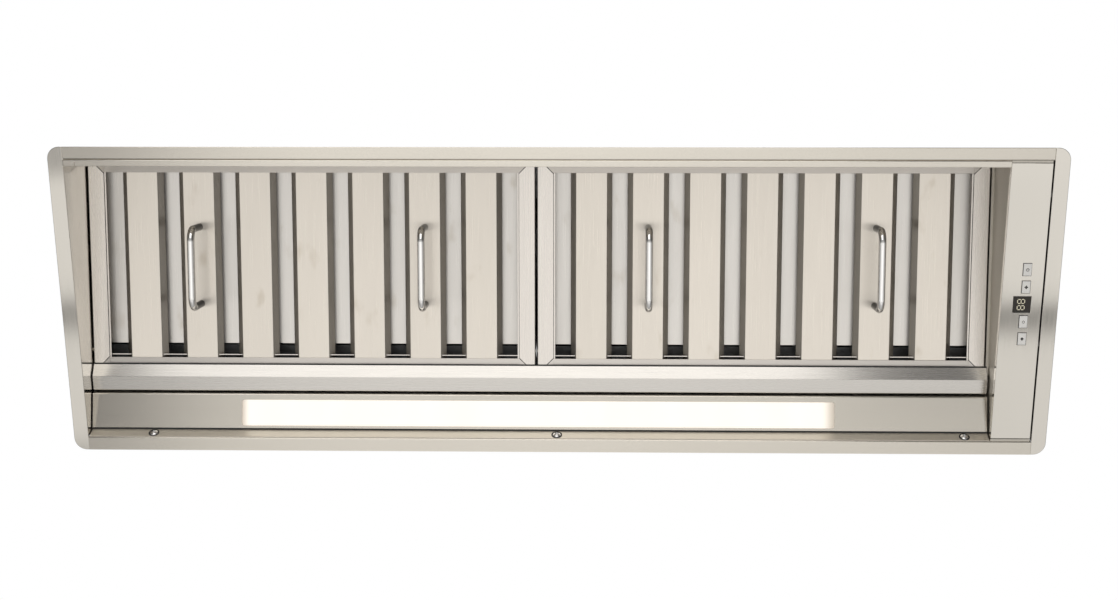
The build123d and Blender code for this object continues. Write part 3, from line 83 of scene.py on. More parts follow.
# A filter's depths are measured upwards from its face.
FILTER_SLOPE = math.radians(10.1)
FILTER_FRONT = (-160.8, 89.3)  # Y and Z of the filters' front lower edge
FILTER_MIDDLE = {"left": -304.0, "right": 252.2}
FILTER_LENGTH = 270.0
FILTER_WIDTH = 553.0
BAFFLES = 7
BAFFLE_PITCH = 70.0
BAFFLE_HALF = 18.9
BAFFLE_BEND = 1.5  # reach of a baffle's bend past its half width
BEND_WIDTHS = (0.7, 0.3)  # rounding of the baffles' bends: outside, then in the hollow
RAIL_FACE = 19.5
RAIL_CHAMFER = 7.4
RAIL_RETURN = 2.2  # the rail's turned edge, seen past its face
RAIL_SHADE = 0.5  # width of the dark line where that edge turns
CAP_FACE = 1.0  # the end caps' face over the rails' face
CAP_LENGTH = 100.0  # a frame's solids that are at least this long across are its end caps
TURNED_DEPTH = (CAP_FACE + 0.4, CAP_FACE + 1.2)
SHADE_DEPTH = (CAP_FACE + 0.1, CAP_FACE + 0.4)
DRAIN_EDGE = 23.5  # the rear cap's inner edge to the filter's rear end
DRAIN_WIDTH = 1.0
DRAIN_DEPTH = (3.4, 4.2)
LAP_DEPTH = (-0.1, -0.01)  # the caps' corner laps stand proud of the rails
MITRE_STOP = 1.0  # the mitre stops this far from the filter's end
MITRE_LINE = 1.26  # width of its dark line, along the rail
HANDLE_SPAN = 96.0
HANDLE_STANDOFF = 46.0
HANDLE_FOOT = 2.0  # outer baffles' face over the filter's face
HANDLE_BEND = 14.0
HANDLE_STEPS = 14  # facets along each bend
HANDLE_R = 4.5
HANDLE_BAFFLES = (-2, 2)
# How far from the filter's face the handles' legs start and stop growing darker.
HANDLE_SHADE = (HANDLE_STANDOFF - HANDLE_BEND / 2, HANDLE_STANDOFF - HANDLE_BEND * 1.15)

BUTTON_X = 560.5
BUTTONS = {"timer_button": -44.4, "fan_button": -22.7, "power_button": 20.7, "light_button": 42.4}
BUTTON_SIZE = (9.6, 14.8)
PANEL_FACE = 1.0
RECESS = (0.9, 0.3)  # dark edge of a button's opening: to the left and front, to the right and rear
RECESS_HEIGHT = (PANEL_FACE - 0.06, PANEL_FACE + 0.2)
SYMBOL_HEIGHT = (0.12, 0.3)  # from just below the caps' faces, at 0.2, to inside them
WINDOW = (557.2, -1.0)
DIGIT_TALL = 8.4
DIGIT_WIDE = 5.0
DIGIT_PITCH = 7.8
DIGIT_SHIFT = 1.2  # the digits stand this much nearer to the filters than the window's middle
DIGIT_STROKE = 1.0
DIGIT_TRIM = 0.65  # what a stroke lacks at each end, so that the strokes part
DIGIT_HEIGHT = (PANEL_FACE - 0.05, PANEL_FACE + 0.1)

CHEEK_FILLER = 3.2  # width of the strip beside the right filter
CHEEK_FILLER_STOP = 1.0
CHEEK_FILLER_DEPTH = (0.3, 1.0)
FRONT_FILLER = (-2.9, -0.5)  # the strip at the control panel's front end, from that end
REAR_FILLER = (1.0, 3.9)  # the strip at its rear end, from that end
PANEL_FILLER_HEIGHT = (1.6, 2.4)

SHELL_EDGE = 0.5  # edges of the shells, which show as fine joint lines

STRIP_SCREWS = (-502.0, 0.0, 502.0)
STRIP_FOOT = (174.0, 1.0)
STRIP_HEAD = (170.4, 14.4)
SCREW_RADIUS = 5.4
SCREW_HEIGHT = 2.4
SCREW_SKIRT = (-0.6, 0.2)  # the straight part of a head's side
SCREW_CROWN = 0.98  # the dome's radius as a share of the head's
SCREW_WELL = 0.42  # the sunk middle's radius as a share of the head's
SCREW_WELL_SHAPE = ((1, 0.97), (0.55, 0.35), (0, 0.25))  # shares of the well's radius and the head's height
SCREW_SHADE_RING = ((5.2, -0.5), (6.6, -0.5), (6.6, 0.35), (6.0, 0.5), (5.5, 0.2), (5.2, -0.5))  # radius and height of the black ring painted as the shade round each head

TRAY_LIP = (93.7, 42.6)
LIP_SHADOW_SECTION = ((-1.0, 0.3), (1.0, -0.12), (1.0, 0.3), (-1.0, 0.8))  # section, Y and Z from the lip, of the black strip painted as the shadow line at the tray's lip
LIGHT_REAR = (170.0, 14.5)  # light panel's rear edge
LIGHT_FRONT = (127.7, 28.2)
LIGHT_ENDS = (-580.8, 531.3)
LIGHT_SHADOW_WIDTH = 1.9  # width of the black strip at that rear edge, a painted shadow line
LIGHT_SHADOW_HEIGHT = (-0.15, 0.5)
DIFFUSER_FADE = {"X": (14.0, -20.0), "Y": (2.5, -7.0)}  # how far the light dims inward from each edge

# The camera that the photograph's straight edges give.
CAMERA_PLACE = (51.5, -593.1, -1894.0)
CAMERA_RIGHT = (0.99970, 0.00394, 0.02402)
CAMERA_DOWN = (0.00336, 0.95505, -0.29642)
CAMERA_LENS = 53.13
SENSOR_WIDTH = 36.0


# Brightness of the studio by the direction's angle in the YZ plane, in degrees from straight down towards
# the rear.
STUDIO_BY_PITCH = (
    (-180, 0.55),
    (-110, 0.40),
    (-85, 0.20),
    (-45, 0.20),
    (-20, 0.40),
    (-13, 0.62),
    (-7, 1.03),
    (4, 1.0),
    (13, 0.90),
    (17, 0.93),
    (19, 0.86),
    (24, 0.80),
    (45, 0.50),
    (90, 0.30),
    (180, 0.55),
)
# The same by the direction's share along X: a dark stretch to the left, and dark at both far sides.
STUDIO_BY_SIDE = (
    (-1.0, 0.25),
    (-0.75, 0.55),
    (-0.5, 0.85),
    (-0.38, 1.0),
    (-0.345, 0.25),
    (-0.30, 0.02),
    (-0.27, 0.40),
    (-0.245, 0.88),
    (-0.2, 1.0),
    (0.0, 1.0),
    (0.13, 0.92),
    (0.25, 0.81),
    (0.5, 0.70),
    (0.75, 0.40),
    (1.0, 0.20),
)
# The stretch of pitch that the end flanges show is even from side to side.
EVEN_PITCH = (13.2, 22.0)
EVEN_FADE = (0.6, 1.0)
EVEN_LEVEL = 0.79
# A dark beam across the studio: where it starts and ends, how far its edges fade, both in degrees, and how
# dark it is.
BEAM_PITCH = (17.5, 17.8)
BEAM_FADE = (0.25, 0.9)
BEAM_DARK = 0.80
STUDIO_LEVEL = 1.28

FLOOR_HALF = 14000.0
FLOOR_DROP = 6000.0
FLOOR_COLOUR = (0.8, 0.79, 0.77)
LAMP_COLOUR = (1.0, 0.985, 0.96)
# Each soft lamp's place, aim and size, in metres, and its power in watts.
SOFTBOXES = {
    "front_softbox": ((-0.24, -1.75, -1.15), (-0.24, 0.1, 0.035), (1.84, 1.7), 13.5),
    "top_softbox": ((-1.2, -1.4, 2.4), (0.0, 0.0, 0.2), (2.0, 2.0), 30),
}

# How the frame's facets are joined and its edges told apart.
WELD_DISTANCE = 2e-6  # metres
FLAT_ANGLE = math.radians(0.3)
SHARP_ANGLE = math.radians(40)
BEND_LENGTH = 60.0  # a bend of pressed sheet is at least this long
BEND_SHEET = 2.0  # the faces beside a bend are wider than the sheet is thick
BEND_ANGLES = (0.2, 2.0)


# ---------------------------------------------------------------- settings
def colour_setting(name, description, default):
    """Colour property, shown as a swatch."""
    return FloatVectorProperty(
        name=name, description=description, subtype="COLOR", default=default, min=0, max=1
    )


class HoodSizes(bpy.types.PropertyGroup):
    """Sizes of the small forms that the frame leaves plain."""

    edge_radius: FloatProperty(
        name="Sheet edge radius",
        description="Rounding of the sheet metal's cut edges and bends, in millimetres",
        default=0.35,
        min=0.0,
        max=1.0,
    )
    handle_sides: IntProperty(
        name="Handle sides", description="Facets round a handle's bar", default=28, min=8, max=64
    )
    screw_sides: IntProperty(
        name="Screw sides", description="Facets round a screw's head", default=32, min=8, max=64
    )
    camera_lens: FloatProperty(
        name="Lens",
        description="Focal length on a 36 mm sensor, in millimetres",
        default=CAMERA_LENS,
        min=20,
        max=200,
    )


class HoodFinish(bpy.types.PropertyGroup):
    """Colours and finishes."""

    steel: colour_setting("Steel", "Brushed stainless steel", (0.74, 0.70, 0.63))
    flange_steel: colour_setting("Side steel", "Side flanges and control panel", (0.74, 0.71, 0.655))
    rail_steel: colour_setting("Rail steel", "Filter frames", (0.75, 0.71, 0.665))
    baffle_steel: colour_setting("Baffle steel", "Filter baffles", (0.76, 0.71, 0.64))
    inner_steel: colour_setting("Inner baffle steel", "Baffles behind the gaps", (0.72, 0.695, 0.66))
    zinc: colour_setting("Zinc", "Galvanised sheet", (0.52, 0.54, 0.56))
    chrome: colour_setting("Chrome", "Polished handles", (0.92, 0.91, 0.90))
    light: colour_setting("Light", "Colour of the light bar", (1.0, 0.95, 0.86))
    light_strength: FloatProperty(
        name="Light strength", description="Brightness of the light bar", default=0.9, min=0.0, max=20.0
    )
    grain: FloatProperty(
        name="Grain",
        description="Depth of the brushed grain",
        subtype="FACTOR",
        default=0.022,
        min=0.0,
        max=1.0,
    )
    stains: BoolProperty(name="Stains", description="Faint marks of handling on the baffles", default=True)


def sizes():
    return bpy.context.scene.hood_sizes


def finish():
    return bpy.context.scene.hood_finish


# ---------------------------------------------------------------- node materials
NOISE_SPAN = (0.3, 0.7)  # what a noise mostly lies between
TINT_STOPS = (0.35, 0.65)
GRAIN_ALONG = {"x": (12, 2600, 2600), "y": (2600, 12, 60), "z": (2600, 2600, 12)}
GRAIN_HEIGHT = 0.0002  # metres
GRAIN_ROUGHNESS = 0.03  # how far the streaks shift the roughness
CLOUD_ALONG = {"x": (2.0, 9, 9), "y": (9, 2.0, 3), "z": (9, 9, 2.0)}
CLOUD_TONES = (0.975, 1.02)
STAIN_DEPTH = 0.16
STAIN_STRETCH = (34, 15, 34)
STAIN_SPAN = (0.60, 0.78)
STAIN_TINT = (1.0, 1.15, 1.4)  # a mark takes more of the green and the blue, which makes it warm
FLANK_SHADE_SPAN = (0.25, 0.6)  # a normal's share along X where the painted flank shade starts and ends
TOOTH_HEIGHT = 0.0001  # metres
DIFFUSER_BODY = (0.46, 0.43, 0.39)
DIFFUSER_EDGE = (1.0, 0.86, 0.70)
DIFFUSER_EDGE_LEVEL = 0.38
# Strength of the buttons' painted glow.
BUTTON_PAINTED_GLOW = 0.22


def new_material(name, colour, metallic, roughness):
    """Empty material and its shader, with the constants set on the shader's own sockets."""
    material = bpy.data.materials.new(name)
    material.use_nodes = True
    shader = material.node_tree.nodes["Principled BSDF"]
    shader.inputs["Base Color"].default_value = (*colour, 1)
    shader.inputs["Metallic"].default_value = metallic
    shader.inputs["Roughness"].default_value = roughness
    return material, shader


def add(tree, kind, **values):
    """New node with its fields set."""
    node = tree.nodes.new(kind)
    for key, value in values.items():
        setattr(node, key, value)
    return node


def own_place(tree):
    """The piece's own coordinates."""
    return add(tree, "ShaderNodeTexCoord").outputs["Object"]


def noise(tree, stretch, detail=2.0):
    """Noise over the piece's own coordinates, stretched per axis; returns its factor socket."""
    mapping = add(tree, "ShaderNodeMapping")
    mapping.inputs["Scale"].default_value = stretch
    texture = add(tree, "ShaderNodeTexNoise")
    texture.inputs["Scale"].default_value = 1.0
    texture.inputs["Detail"].default_value = detail
    tree.links.new(own_place(tree), mapping.inputs["Vector"])
    tree.links.new(mapping.outputs["Vector"], texture.inputs["Vector"])
    return texture.outputs["Fac"]


def ranged(tree, source, span, reach=(0.0, 1.0), smooth=False):
    """Map a number from one span to another."""
    node = add(tree, "ShaderNodeMapRange", interpolation_type="SMOOTHSTEP" if smooth else "LINEAR")
    node.inputs["From Min"].default_value, node.inputs["From Max"].default_value = span
    node.inputs["To Min"].default_value, node.inputs["To Max"].default_value = reach
    tree.links.new(source, node.inputs["Value"])
    return node.outputs["Result"]


def spread(tree, source, low, high):
    """Map a noise to a range."""
    return ranged(tree, source, NOISE_SPAN, (low, high))


def product(tree, first, second):
    """Multiply two numbers."""
    node = add(tree, "ShaderNodeMath", operation="MULTIPLY")
    tree.links.new(first, node.inputs[0])
    tree.links.new(second, node.inputs[1])
    return node.outputs["Value"]


def tint(tree, source, dark, light):
    """Blend two colours by a noise."""
    ramp = add(tree, "ShaderNodeValToRGB")
    for element, position, colour in zip(ramp.color_ramp.elements, TINT_STOPS, (dark, light)):
        element.position = position
        element.color = (*colour, 1)
    tree.links.new(source, ramp.inputs["Fac"])
    return ramp.outputs["Color"]


def blended(tree, factor, first, second):
    """Blend two colours evenly by a factor."""
    mix = add(tree, "ShaderNodeMix", data_type="RGBA")
    mix.inputs["A"].default_value = (*first, 1)
    mix.inputs["B"].default_value = (*second, 1)
    tree.links.new(factor, mix.inputs["Factor"])
    return mix.outputs["Result"]


def raised(tree, shader, source, strength, height):
    """Fine bump on a shader."""
    bump = add(tree, "ShaderNodeBump")
    bump.inputs["Strength"].default_value = strength
    bump.inputs["Distance"].default_value = height
    tree.links.new(source, bump.inputs["Height"])
    tree.links.new(bump.outputs["Normal"], shader.inputs["Normal"])


def shaded(colour, factor):
    return tuple(min(1.0, c * factor) for c in colour)


def brushed_steel(name, colour, along, roughness, stain=0.0, grain=1.0, anisotropy=0.85, flank_shade=1.0):
    """Brushed steel whose grain runs along one axis: streaks in roughness, a tint in soft clouds and a fine
    bump.

    Faces that look sideways are darkened by the flank shade factor, a painted shade on the baffles' flanks.
    """
    material, shader = new_material(name, colour, 1.0, roughness)
    tree = material.node_tree
    streaks = noise(tree, GRAIN_ALONG[along], detail=3)
    rough = spread(tree, streaks, roughness - GRAIN_ROUGHNESS, roughness + GRAIN_ROUGHNESS)
    tree.links.new(rough, shader.inputs["Roughness"])
    clouds = noise(tree, CLOUD_ALONG[along], detail=4)
    tone_stains_and_flank_shade = tint(tree, clouds, *(shaded(colour, tone) for tone in CLOUD_TONES))
    if stain:
        tone_stains_and_flank_shade = smudged(tree, tone_stains_and_flank_shade, stain)
    if flank_shade < 1:
        tone_stains_and_flank_shade = painted_flank_shade(tree, tone_stains_and_flank_shade, flank_shade)
    tree.links.new(tone_stains_and_flank_shade, shader.inputs["Base Color"])
    raised(tree, shader, streaks, finish().grain * grain, GRAIN_HEIGHT)
    shader.inputs["Anisotropic"].default_value = anisotropy
    tangent = add(tree, "ShaderNodeTangent", direction_type="UV_MAP", uv_map="grain")
    tree.links.new(tangent.outputs["Tangent"], shader.inputs["Tangent"])
    return material


def smudged(tree, colour, depth):
    """Darken a colour in a few soft warm marks."""
    marks = ranged(tree, noise(tree, STAIN_STRETCH, detail=3), STAIN_SPAN, smooth=True)
    stain = add(tree, "ShaderNodeMix", data_type="RGBA", blend_type="MULTIPLY")
    stain.inputs["B"].default_value = (*(1 - depth * share for share in STAIN_TINT), 1)
    tree.links.new(marks, stain.inputs["Factor"])
    tree.links.new(colour, stain.inputs["A"])
    return stain.outputs["Result"]


def painted_flank_shade(tree, colour, factor):
    """Painted shade: multiply a colour by a factor where the face looks along X."""
    surface = add(tree, "ShaderNodeNewGeometry")
    split = add(tree, "ShaderNodeSeparateXYZ")
    size = add(tree, "ShaderNodeMath", operation="ABSOLUTE")
    grey = add(tree, "ShaderNodeVectorMath", operation="SCALE")
    tree.links.new(surface.outputs["Normal"], split.inputs["Vector"])
    tree.links.new(split.outputs["X"], size.inputs[0])
    tree.links.new(colour, grey.inputs[0])
    tree.links.new(ranged(tree, size.outputs["Value"], FLANK_SHADE_SPAN, (1.0, factor)), grey.inputs["Scale"])
    return grey.outputs["Vector"]


def zinc_sheet(name, colour):
    """Galvanised sheet with its faint crystals."""
    material, shader = new_material(name, colour, 0.85, 0.5)
    tree = material.node_tree
    crystals = add(tree, "ShaderNodeTexVoronoi", feature="F1")
    crystals.inputs["Scale"].default_value = 90
    tree.links.new(own_place(tree), crystals.inputs["Vector"])
    flakes = add(tree, "ShaderNodeSeparateColor")
    tree.links.new(crystals.outputs["Color"], flakes.inputs["Color"])
    tone = tint(tree, flakes.outputs["Red"], shaded(colour, 0.92), shaded(colour, 1.05))
    tree.links.new(tone, shader.inputs["Base Color"])
    tree.links.new(spread(tree, flakes.outputs["Green"], 0.40, 0.55), shader.inputs["Roughness"])
    return material


def polished(name, colour, roughness, rim):
    """Mirror-bright metal with faint wipe marks and a rim tone for its steep edges."""
    material, shader = new_material(name, colour, 1.0, roughness)
    tree = material.node_tree
    shader.inputs["Specular Tint"].default_value = (rim, rim, rim, 1)
    wiped = spread(tree, noise(tree, (60, 60, 60)), roughness, roughness + 0.04)
    tree.links.new(wiped, shader.inputs["Roughness"])
    return material


def handle_chrome(name, colour):
    """Chrome that grows darker down the handles' legs, where they stand in the baffles' shade."""
    material = polished(name, colour, 0.03, rim=0.6)
    tree = material.node_tree
    height = add(tree, "ShaderNodeVectorMath", operation="DOT_PRODUCT")
    square = Vector((0, math.sin(FILTER_SLOPE), math.cos(FILTER_SLOPE)))
    height.inputs[1].default_value = square
    face = filter_point(0, 0, 0).dot(square)
    legs = [(face - depth) * MM for depth in HANDLE_SHADE]
    tree.links.new(own_place(tree), height.inputs[0])
    down_leg = ranged(tree, height.outputs["Value"], legs, smooth=True)
    shade = blended(tree, down_leg, colour, shaded(colour, 0.10))
    tree.links.new(shade, tree.nodes["Principled BSDF"].inputs["Base Color"])
    return material


def moulded(name, colour, roughness, texture=900.0):
    """Moulded plastic or cured paint with a fine tooth."""
    material, shader = new_material(name, colour, 0.0, roughness)
    tree = material.node_tree
    tone = tint(tree, noise(tree, (40, 40, 40)), shaded(colour, 0.94), shaded(colour, 1.04))
    tree.links.new(tone, shader.inputs["Base Color"])
    raised(tree, shader, noise(tree, (texture, texture, texture), detail=1), 0.05, TOOTH_HEIGHT)
    return material


def lit_diffuser(name, colour, strength):
    """Frosted bar lit from behind, a little uneven over its emitters, dimmer and warmer towards its edges."""
    material, shader = new_material(name, DIFFUSER_BODY, 0.0, 0.35)
    tree = material.node_tree
    low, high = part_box("light_diffuser")
    split = add(tree, "ShaderNodeSeparateXYZ")
    tree.links.new(own_place(tree), split.inputs["Vector"])
    fades = []
    for axis, reaches in DIFFUSER_FADE.items():
        index = "XYZ".index(axis)
        for edge, reach in zip((low[index], high[index]), reaches):
            fades.append(ranged(tree, split.outputs[axis], (edge, edge + reach * MM), smooth=True))
    inside = fades[0]
    for fade in fades[1:]:
        inside = product(tree, inside, fade)
    tree.links.new(blended(tree, inside, DIFFUSER_EDGE, colour), shader.inputs["Emission Color"])
    level = ranged(tree, inside, (0, 1), (strength * DIFFUSER_EDGE_LEVEL, strength))
    uneven = spread(tree, noise(tree, (22, 6, 6), detail=1), 0.97, 1.03)
    tree.links.new(product(tree, level, uneven), shader.inputs["Emission Strength"])
    return material


def cap_with_painted_glow(name, colour):
    """White push button with a faint painted glow that brightens it."""
    material = moulded(name, colour, 0.35)
    shader = material.node_tree.nodes["Principled BSDF"]
    shader.inputs["Emission Color"].default_value = (*colour, 1)
    shader.inputs["Emission Strength"].default_value = BUTTON_PAINTED_GLOW
    return material


def glowing(name, colour, strength):
    """Lit strokes of the display, a little uneven."""
    material, shader = new_material(name, colour, 0.0, 0.5)
    tree = material.node_tree
    shader.inputs["Emission Color"].default_value = (*colour, 1)
    uneven = spread(tree, noise(tree, (300, 300, 300)), strength * 0.9, strength * 1.1)
    tree.links.new(uneven, shader.inputs["Emission Strength"])
    return material


MATERIALS = {}


def material(name):
    """The material of that name, made once."""
    if name not in MATERIALS:
        look = finish()
        stain = STAIN_DEPTH if look.stains else 0.0
        makers = {
            "steel_x": lambda: brushed_steel(name, look.steel, "x", 0.24),
            "flange_steel": lambda: brushed_steel(
                name, look.flange_steel, "y", 0.10, grain=0.25, anisotropy=1.0
            ),
            "tray_steel": lambda: brushed_steel(name, shaded(look.inner_steel, 0.95), "x", 0.26),
            # The rear strip's steel is the steel lightened by a quarter: painted light.
            "strip_steel_with_painted_light": lambda: brushed_steel(name, shaded(look.steel, 1.25), "x", 0.50, anisotropy=0.2),
            "rail_steel": lambda: brushed_steel(name, look.rail_steel, "y", 0.27),
            "cap_steel": lambda: brushed_steel(name, shaded(look.rail_steel, 0.93), "x", 0.36),
            # The outer baffles' sideways flanks carry painted shade.
            "baffle_steel": lambda: brushed_steel(name, look.baffle_steel, "y", 0.30, stain, flank_shade=0.6),
            "inner_baffle_steel": lambda: brushed_steel(name, look.inner_steel, "y", 0.30, stain),
            "cheek_steel": lambda: brushed_steel(name, shaded(look.steel, 0.9), "y", 0.5, anisotropy=0.2),
            "strap_steel": lambda: brushed_steel(name, look.inner_steel, "x", 0.35),
            "screw_steel": lambda: brushed_steel(name, look.steel, "z", 0.22, grain=0.5),
            "spring_steel": lambda: brushed_steel(name, shaded(look.inner_steel, 0.8), "z", 0.25),
            "chrome": lambda: handle_chrome(name, look.chrome),
            "screw_chrome": lambda: polished(name, shaded(look.chrome, 0.95), 0.10, rim=0.3),
            "zinc": lambda: zinc_sheet(name, look.zinc),
            "magnet": lambda: moulded(name, (0.02, 0.02, 0.022), 0.5),
            "diffuser": lambda: lit_diffuser(name, look.light, look.light_strength),
            "board": lambda: moulded(name, (0.02, 0.10, 0.04), 0.4),
            "black_plastic": lambda: moulded(name, (0.012, 0.012, 0.013), 0.4),
            "grey_plastic": lambda: moulded(name, (0.16, 0.165, 0.17), 0.5),
            "button": lambda: cap_with_painted_glow(name, (0.86, 0.85, 0.83)),
            "mark": lambda: moulded(name, (0.05, 0.05, 0.05), 0.5),
            "window": lambda: moulded(name, (0.022, 0.017, 0.011), 0.16, 200),
            "digit": lambda: glowing(name, (0.70, 0.66, 0.50), 0.42),
            "motor_paint": lambda: moulded(name, (0.03, 0.032, 0.035), 0.45),
        }
        MATERIALS[name] = makers[name]()
    return MATERIALS[name]


# ---------------------------------------------------------------- meshes
AXES = {"x": Vector((1, 0, 0)), "y": Vector((0, 1, 0)), "z": Vector((0, 0, 1))}


def grain_uv(mesh, along):
    """UV map whose U runs across the grain in each face, the way a brushed highlight stretches."""
    layer = mesh.uv_layers.new(name="grain")
    grain = AXES[along]
    for face in mesh.polygons:
        across = face.normal.cross(grain)
        if across.length < 0.1:  # the face looks along the grain
            across = face.normal.orthogonal()
        along_face = across.cross(face.normal)
        for index in face.loop_indices:
            co = mesh.vertices[mesh.loops[index].vertex_index].co
            layer.data[index].uv = (across.dot(co), along_face.dot(co))


def new_piece(name, mesh, look, body, slot, *nodes):
    """Link a finished mesh as a piece that rides on a body and stands for CAD nodes."""
    piece = bpy.data.objects.new(name, mesh)
    bpy.context.scene.collection.objects.link(piece)
    mesh.materials.clear()
    mesh.materials.append(material(look))
    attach(piece, body)
    if nodes:
        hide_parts(*nodes)
    return piece


def mesh_of(name, bm):
    """Write a bmesh held in millimetres to a mesh in metres."""
    bmesh.ops.recalc_face_normals(bm, faces=bm.faces)
    mesh = bpy.data.meshes.new(name)
    bmesh.ops.scale(bm, vec=(MM, MM, MM), verts=bm.verts)
    bm.to_mesh(mesh)
    bm.free()
    return mesh


def built(name, bm, look, body, slot, *nodes):
    """A piece from a bmesh held in millimetres."""
    return new_piece(name, mesh_of(name, bm), look, body, slot, *nodes)


def smooth(piece, angle=35.0):
    """Smooth shading that keeps edges sharper than the angle."""
    mesh = piece.data
    mesh.polygons.foreach_set("use_smooth", [True] * len(mesh.polygons))
    bm = bmesh.new()
    bm.from_mesh(mesh)
    limit = math.radians(angle)
    for edge in bm.edges:
        edge.smooth = len(edge.link_faces) == 2 and edge.calc_face_angle(0) < limit
    bm.to_mesh(mesh)
    bm.free()


def apply_modifiers(piece):
    """Bake the modifiers into the mesh."""
    graph = bpy.context.evaluated_depsgraph_get()
    graph.update()
    mesh = bpy.data.meshes.new_from_object(piece.evaluated_get(graph))
    old = piece.data
    piece.modifiers.clear()
    piece.data = mesh
    bpy.data.meshes.remove(old)


def soften(piece, radius):
    """Round the piece's sharp edges, then weigh its normals by face size."""
    bevel = piece.modifiers.new("edges", "BEVEL")
    bevel.width = radius * MM
    bevel.segments = 2
    bevel.limit_method = "ANGLE"
    bevel.angle_limit = SHARP_ANGLE
    bevel.use_clamp_overlap = True
    weigh = piece.modifiers.new("normals", "WEIGHTED_NORMAL")
    weigh.keep_sharp = True
    apply_modifiers(piece)


def dress(node, look, along, radius=None, name=None, keep=None, bends=None):
    """Copy a CAD node or some of its solids, weld it, round its edges and finish it."""
    bm = bmesh.new()
    bm.from_mesh(NODES[node].data)
    bmesh.ops.remove_doubles(bm, verts=bm.verts, dist=WELD_DISTANCE)
    bmesh.ops.dissolve_limit(bm, angle_limit=FLAT_ANGLE, verts=bm.verts, edges=bm.edges)
    if keep:
        drop = [v for solid in solids_of(bm) if not keep(extent(solid)) for v in solid]
        bmesh.ops.delete(bm, geom=drop, context="VERTS")
    if bends:
        round_bends(bm, *bends)
    mesh = bpy.data.meshes.new(node)
    bm.to_mesh(mesh)
    bm.free()
    body = NODES[node]["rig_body"]
    piece = new_piece(name or f"{node}_skin", mesh, look, body, record_slot(node), node)
    smooth(piece)
    soften(piece, sizes().edge_radius if radius is None else radius)
    grain_uv(piece.data, along)


def solids_of(bm):
    """Vertices of each separate solid."""
    left = set(bm.verts)
    solids = []
    while left:
        solid, edge = set(), [left.pop()]
        while edge:
            vert = edge.pop()
            solid.add(vert)
            near = {e.other_vert(vert) for e in vert.link_edges} & left
            left -= near
            edge.extend(near)
        solids.append(solid)
    return solids


def extent(verts):
    """Size of a set of vertices along each axis, in millimetres."""
    return [(max(v.co[i] for v in verts) - min(v.co[i] for v in verts)) / MM for i in range(3)]


def round_bends(bm, outside, inside):
    """Round the long bends of pressed sheet by one width outside a bend and by another in its hollow."""
    for convex, width in ((True, outside), (False, inside)):
        bends = [e for e in bm.edges if is_bend(e) and e.is_convex == convex]
        bmesh.ops.bevel(
            bm, geom=bends, offset=width * MM, offset_type="OFFSET", segments=4, profile=0.5, affect="EDGES",
            clamp_overlap=False,
        )


def is_bend(edge):
    """Whether an edge is a long bend between two faces that are both wider than the sheet is thick."""
    length = edge.calc_length()
    if len(edge.link_faces) != 2 or length < BEND_LENGTH * MM:
        return False
    wide = all(face.calc_area() / length > BEND_SHEET * MM for face in edge.link_faces)
    return wide and BEND_ANGLES[0] < edge.calc_face_angle(0) < BEND_ANGLES[1]


def record_slot(node):
    """Material slot that the record gives a node."""
    return next(s["material_slot"] for s in FRAME["record"]["subparts"] if s["node"] == node)


def loft(bm, rings):
    """Skin a run of rings, each as many points as the next, and close both ends."""
    rings = [[bm.verts.new(point) for point in ring] for ring in rings]
    bm.faces.new(rings[0])
    bm.faces.new(rings[-1][::-1])
    for a, b in zip(rings, rings[1:]):
        for i in range(len(a)):
            j = (i + 1) % len(a)
            bm.faces.new((a[i], b[i], b[j], a[j]))


def circle(radius, sides):
    """Points of a circle round the origin, as (x, y)."""
    turns = (2 * math.pi * k / sides for k in range(sides))
    return [(radius * math.cos(turn), radius * math.sin(turn)) for turn in turns]


def tube(bm, path, radius, sides):
    """Round tube along points that share one X; each ring is square to the path."""
    rings = []
    for i, point in enumerate(path):
        tangent = (path[min(i + 1, len(path) - 1)] - path[max(i - 1, 0)]).normalized()
        side = AXES["x"].cross(tangent).normalized()
        over = tangent.cross(side).normalized()
        rings.append([point + side * u + over * v for u, v in circle(radius, sides)])
    loft(bm, rings)


def turned(bm, profile, sides, place):
    """Turn a (radius, height) profile round Z, then place it; the profile may end on the axis."""
    rings = []
    for radius, height in profile:
        points = circle(radius, sides) if radius else [(0, 0)]
        rings.append([bm.verts.new(place @ Vector((x, y, height))) for x, y in points])
    for a, b in zip(rings, rings[1:]):
        for k in range(sides):
            j = (k + 1) % sides
            bm.faces.new((a[k], a[j], b[0]) if len(b) == 1 else (a[k], a[j], b[j], b[k]))


def filter_point(x, s, n):
    """A point on a filter: s behind its front edge, n over its face."""
    y, z = FILTER_FRONT
    cos, sin = math.cos(FILTER_SLOPE), math.sin(FILTER_SLOPE)
    return Vector((x, y + s * cos + n * sin, z - s * sin + n * cos))


def flat(bm, outline, depths):
    """Flat plate on a filter: an outline of (x, s) points between two depths over its face."""
    loft(bm, [[filter_point(x, s, depth) for x, s in outline] for depth in depths])


def prism(bm, outline, heights):
    """Flat plate on the panel: an outline of (x, y) points between two heights."""
    loft(bm, [[(x, y, height) for x, y in outline] for height in heights])


def strip_along(bm, ends, section):
    """Bar along X with a section of (y, z) points."""
    loft(bm, [[(x, y, z) for y, z in section] for x in ends])


def rectangle(across, along):
    """Corners of a rectangle, from its two places in X and its two in the other axis."""
    (x0, x1), (y0, y1) = across, along
    return [(x0, y0), (x1, y0), (x1, y1), (x0, y1)]


def bar(bm, a, b, width, heights, trim=0.0):
    """Flat bar on the panel between two points, shorter by the trim at each end."""
    a, b = Vector(a), Vector(b)
    along = (b - a).normalized()
    a, b = a + along * trim, b - along * trim
    side = Vector((-along.y, along.x)) * width / 2
    prism(bm, [a - side, b - side, b + side, a + side], heights)


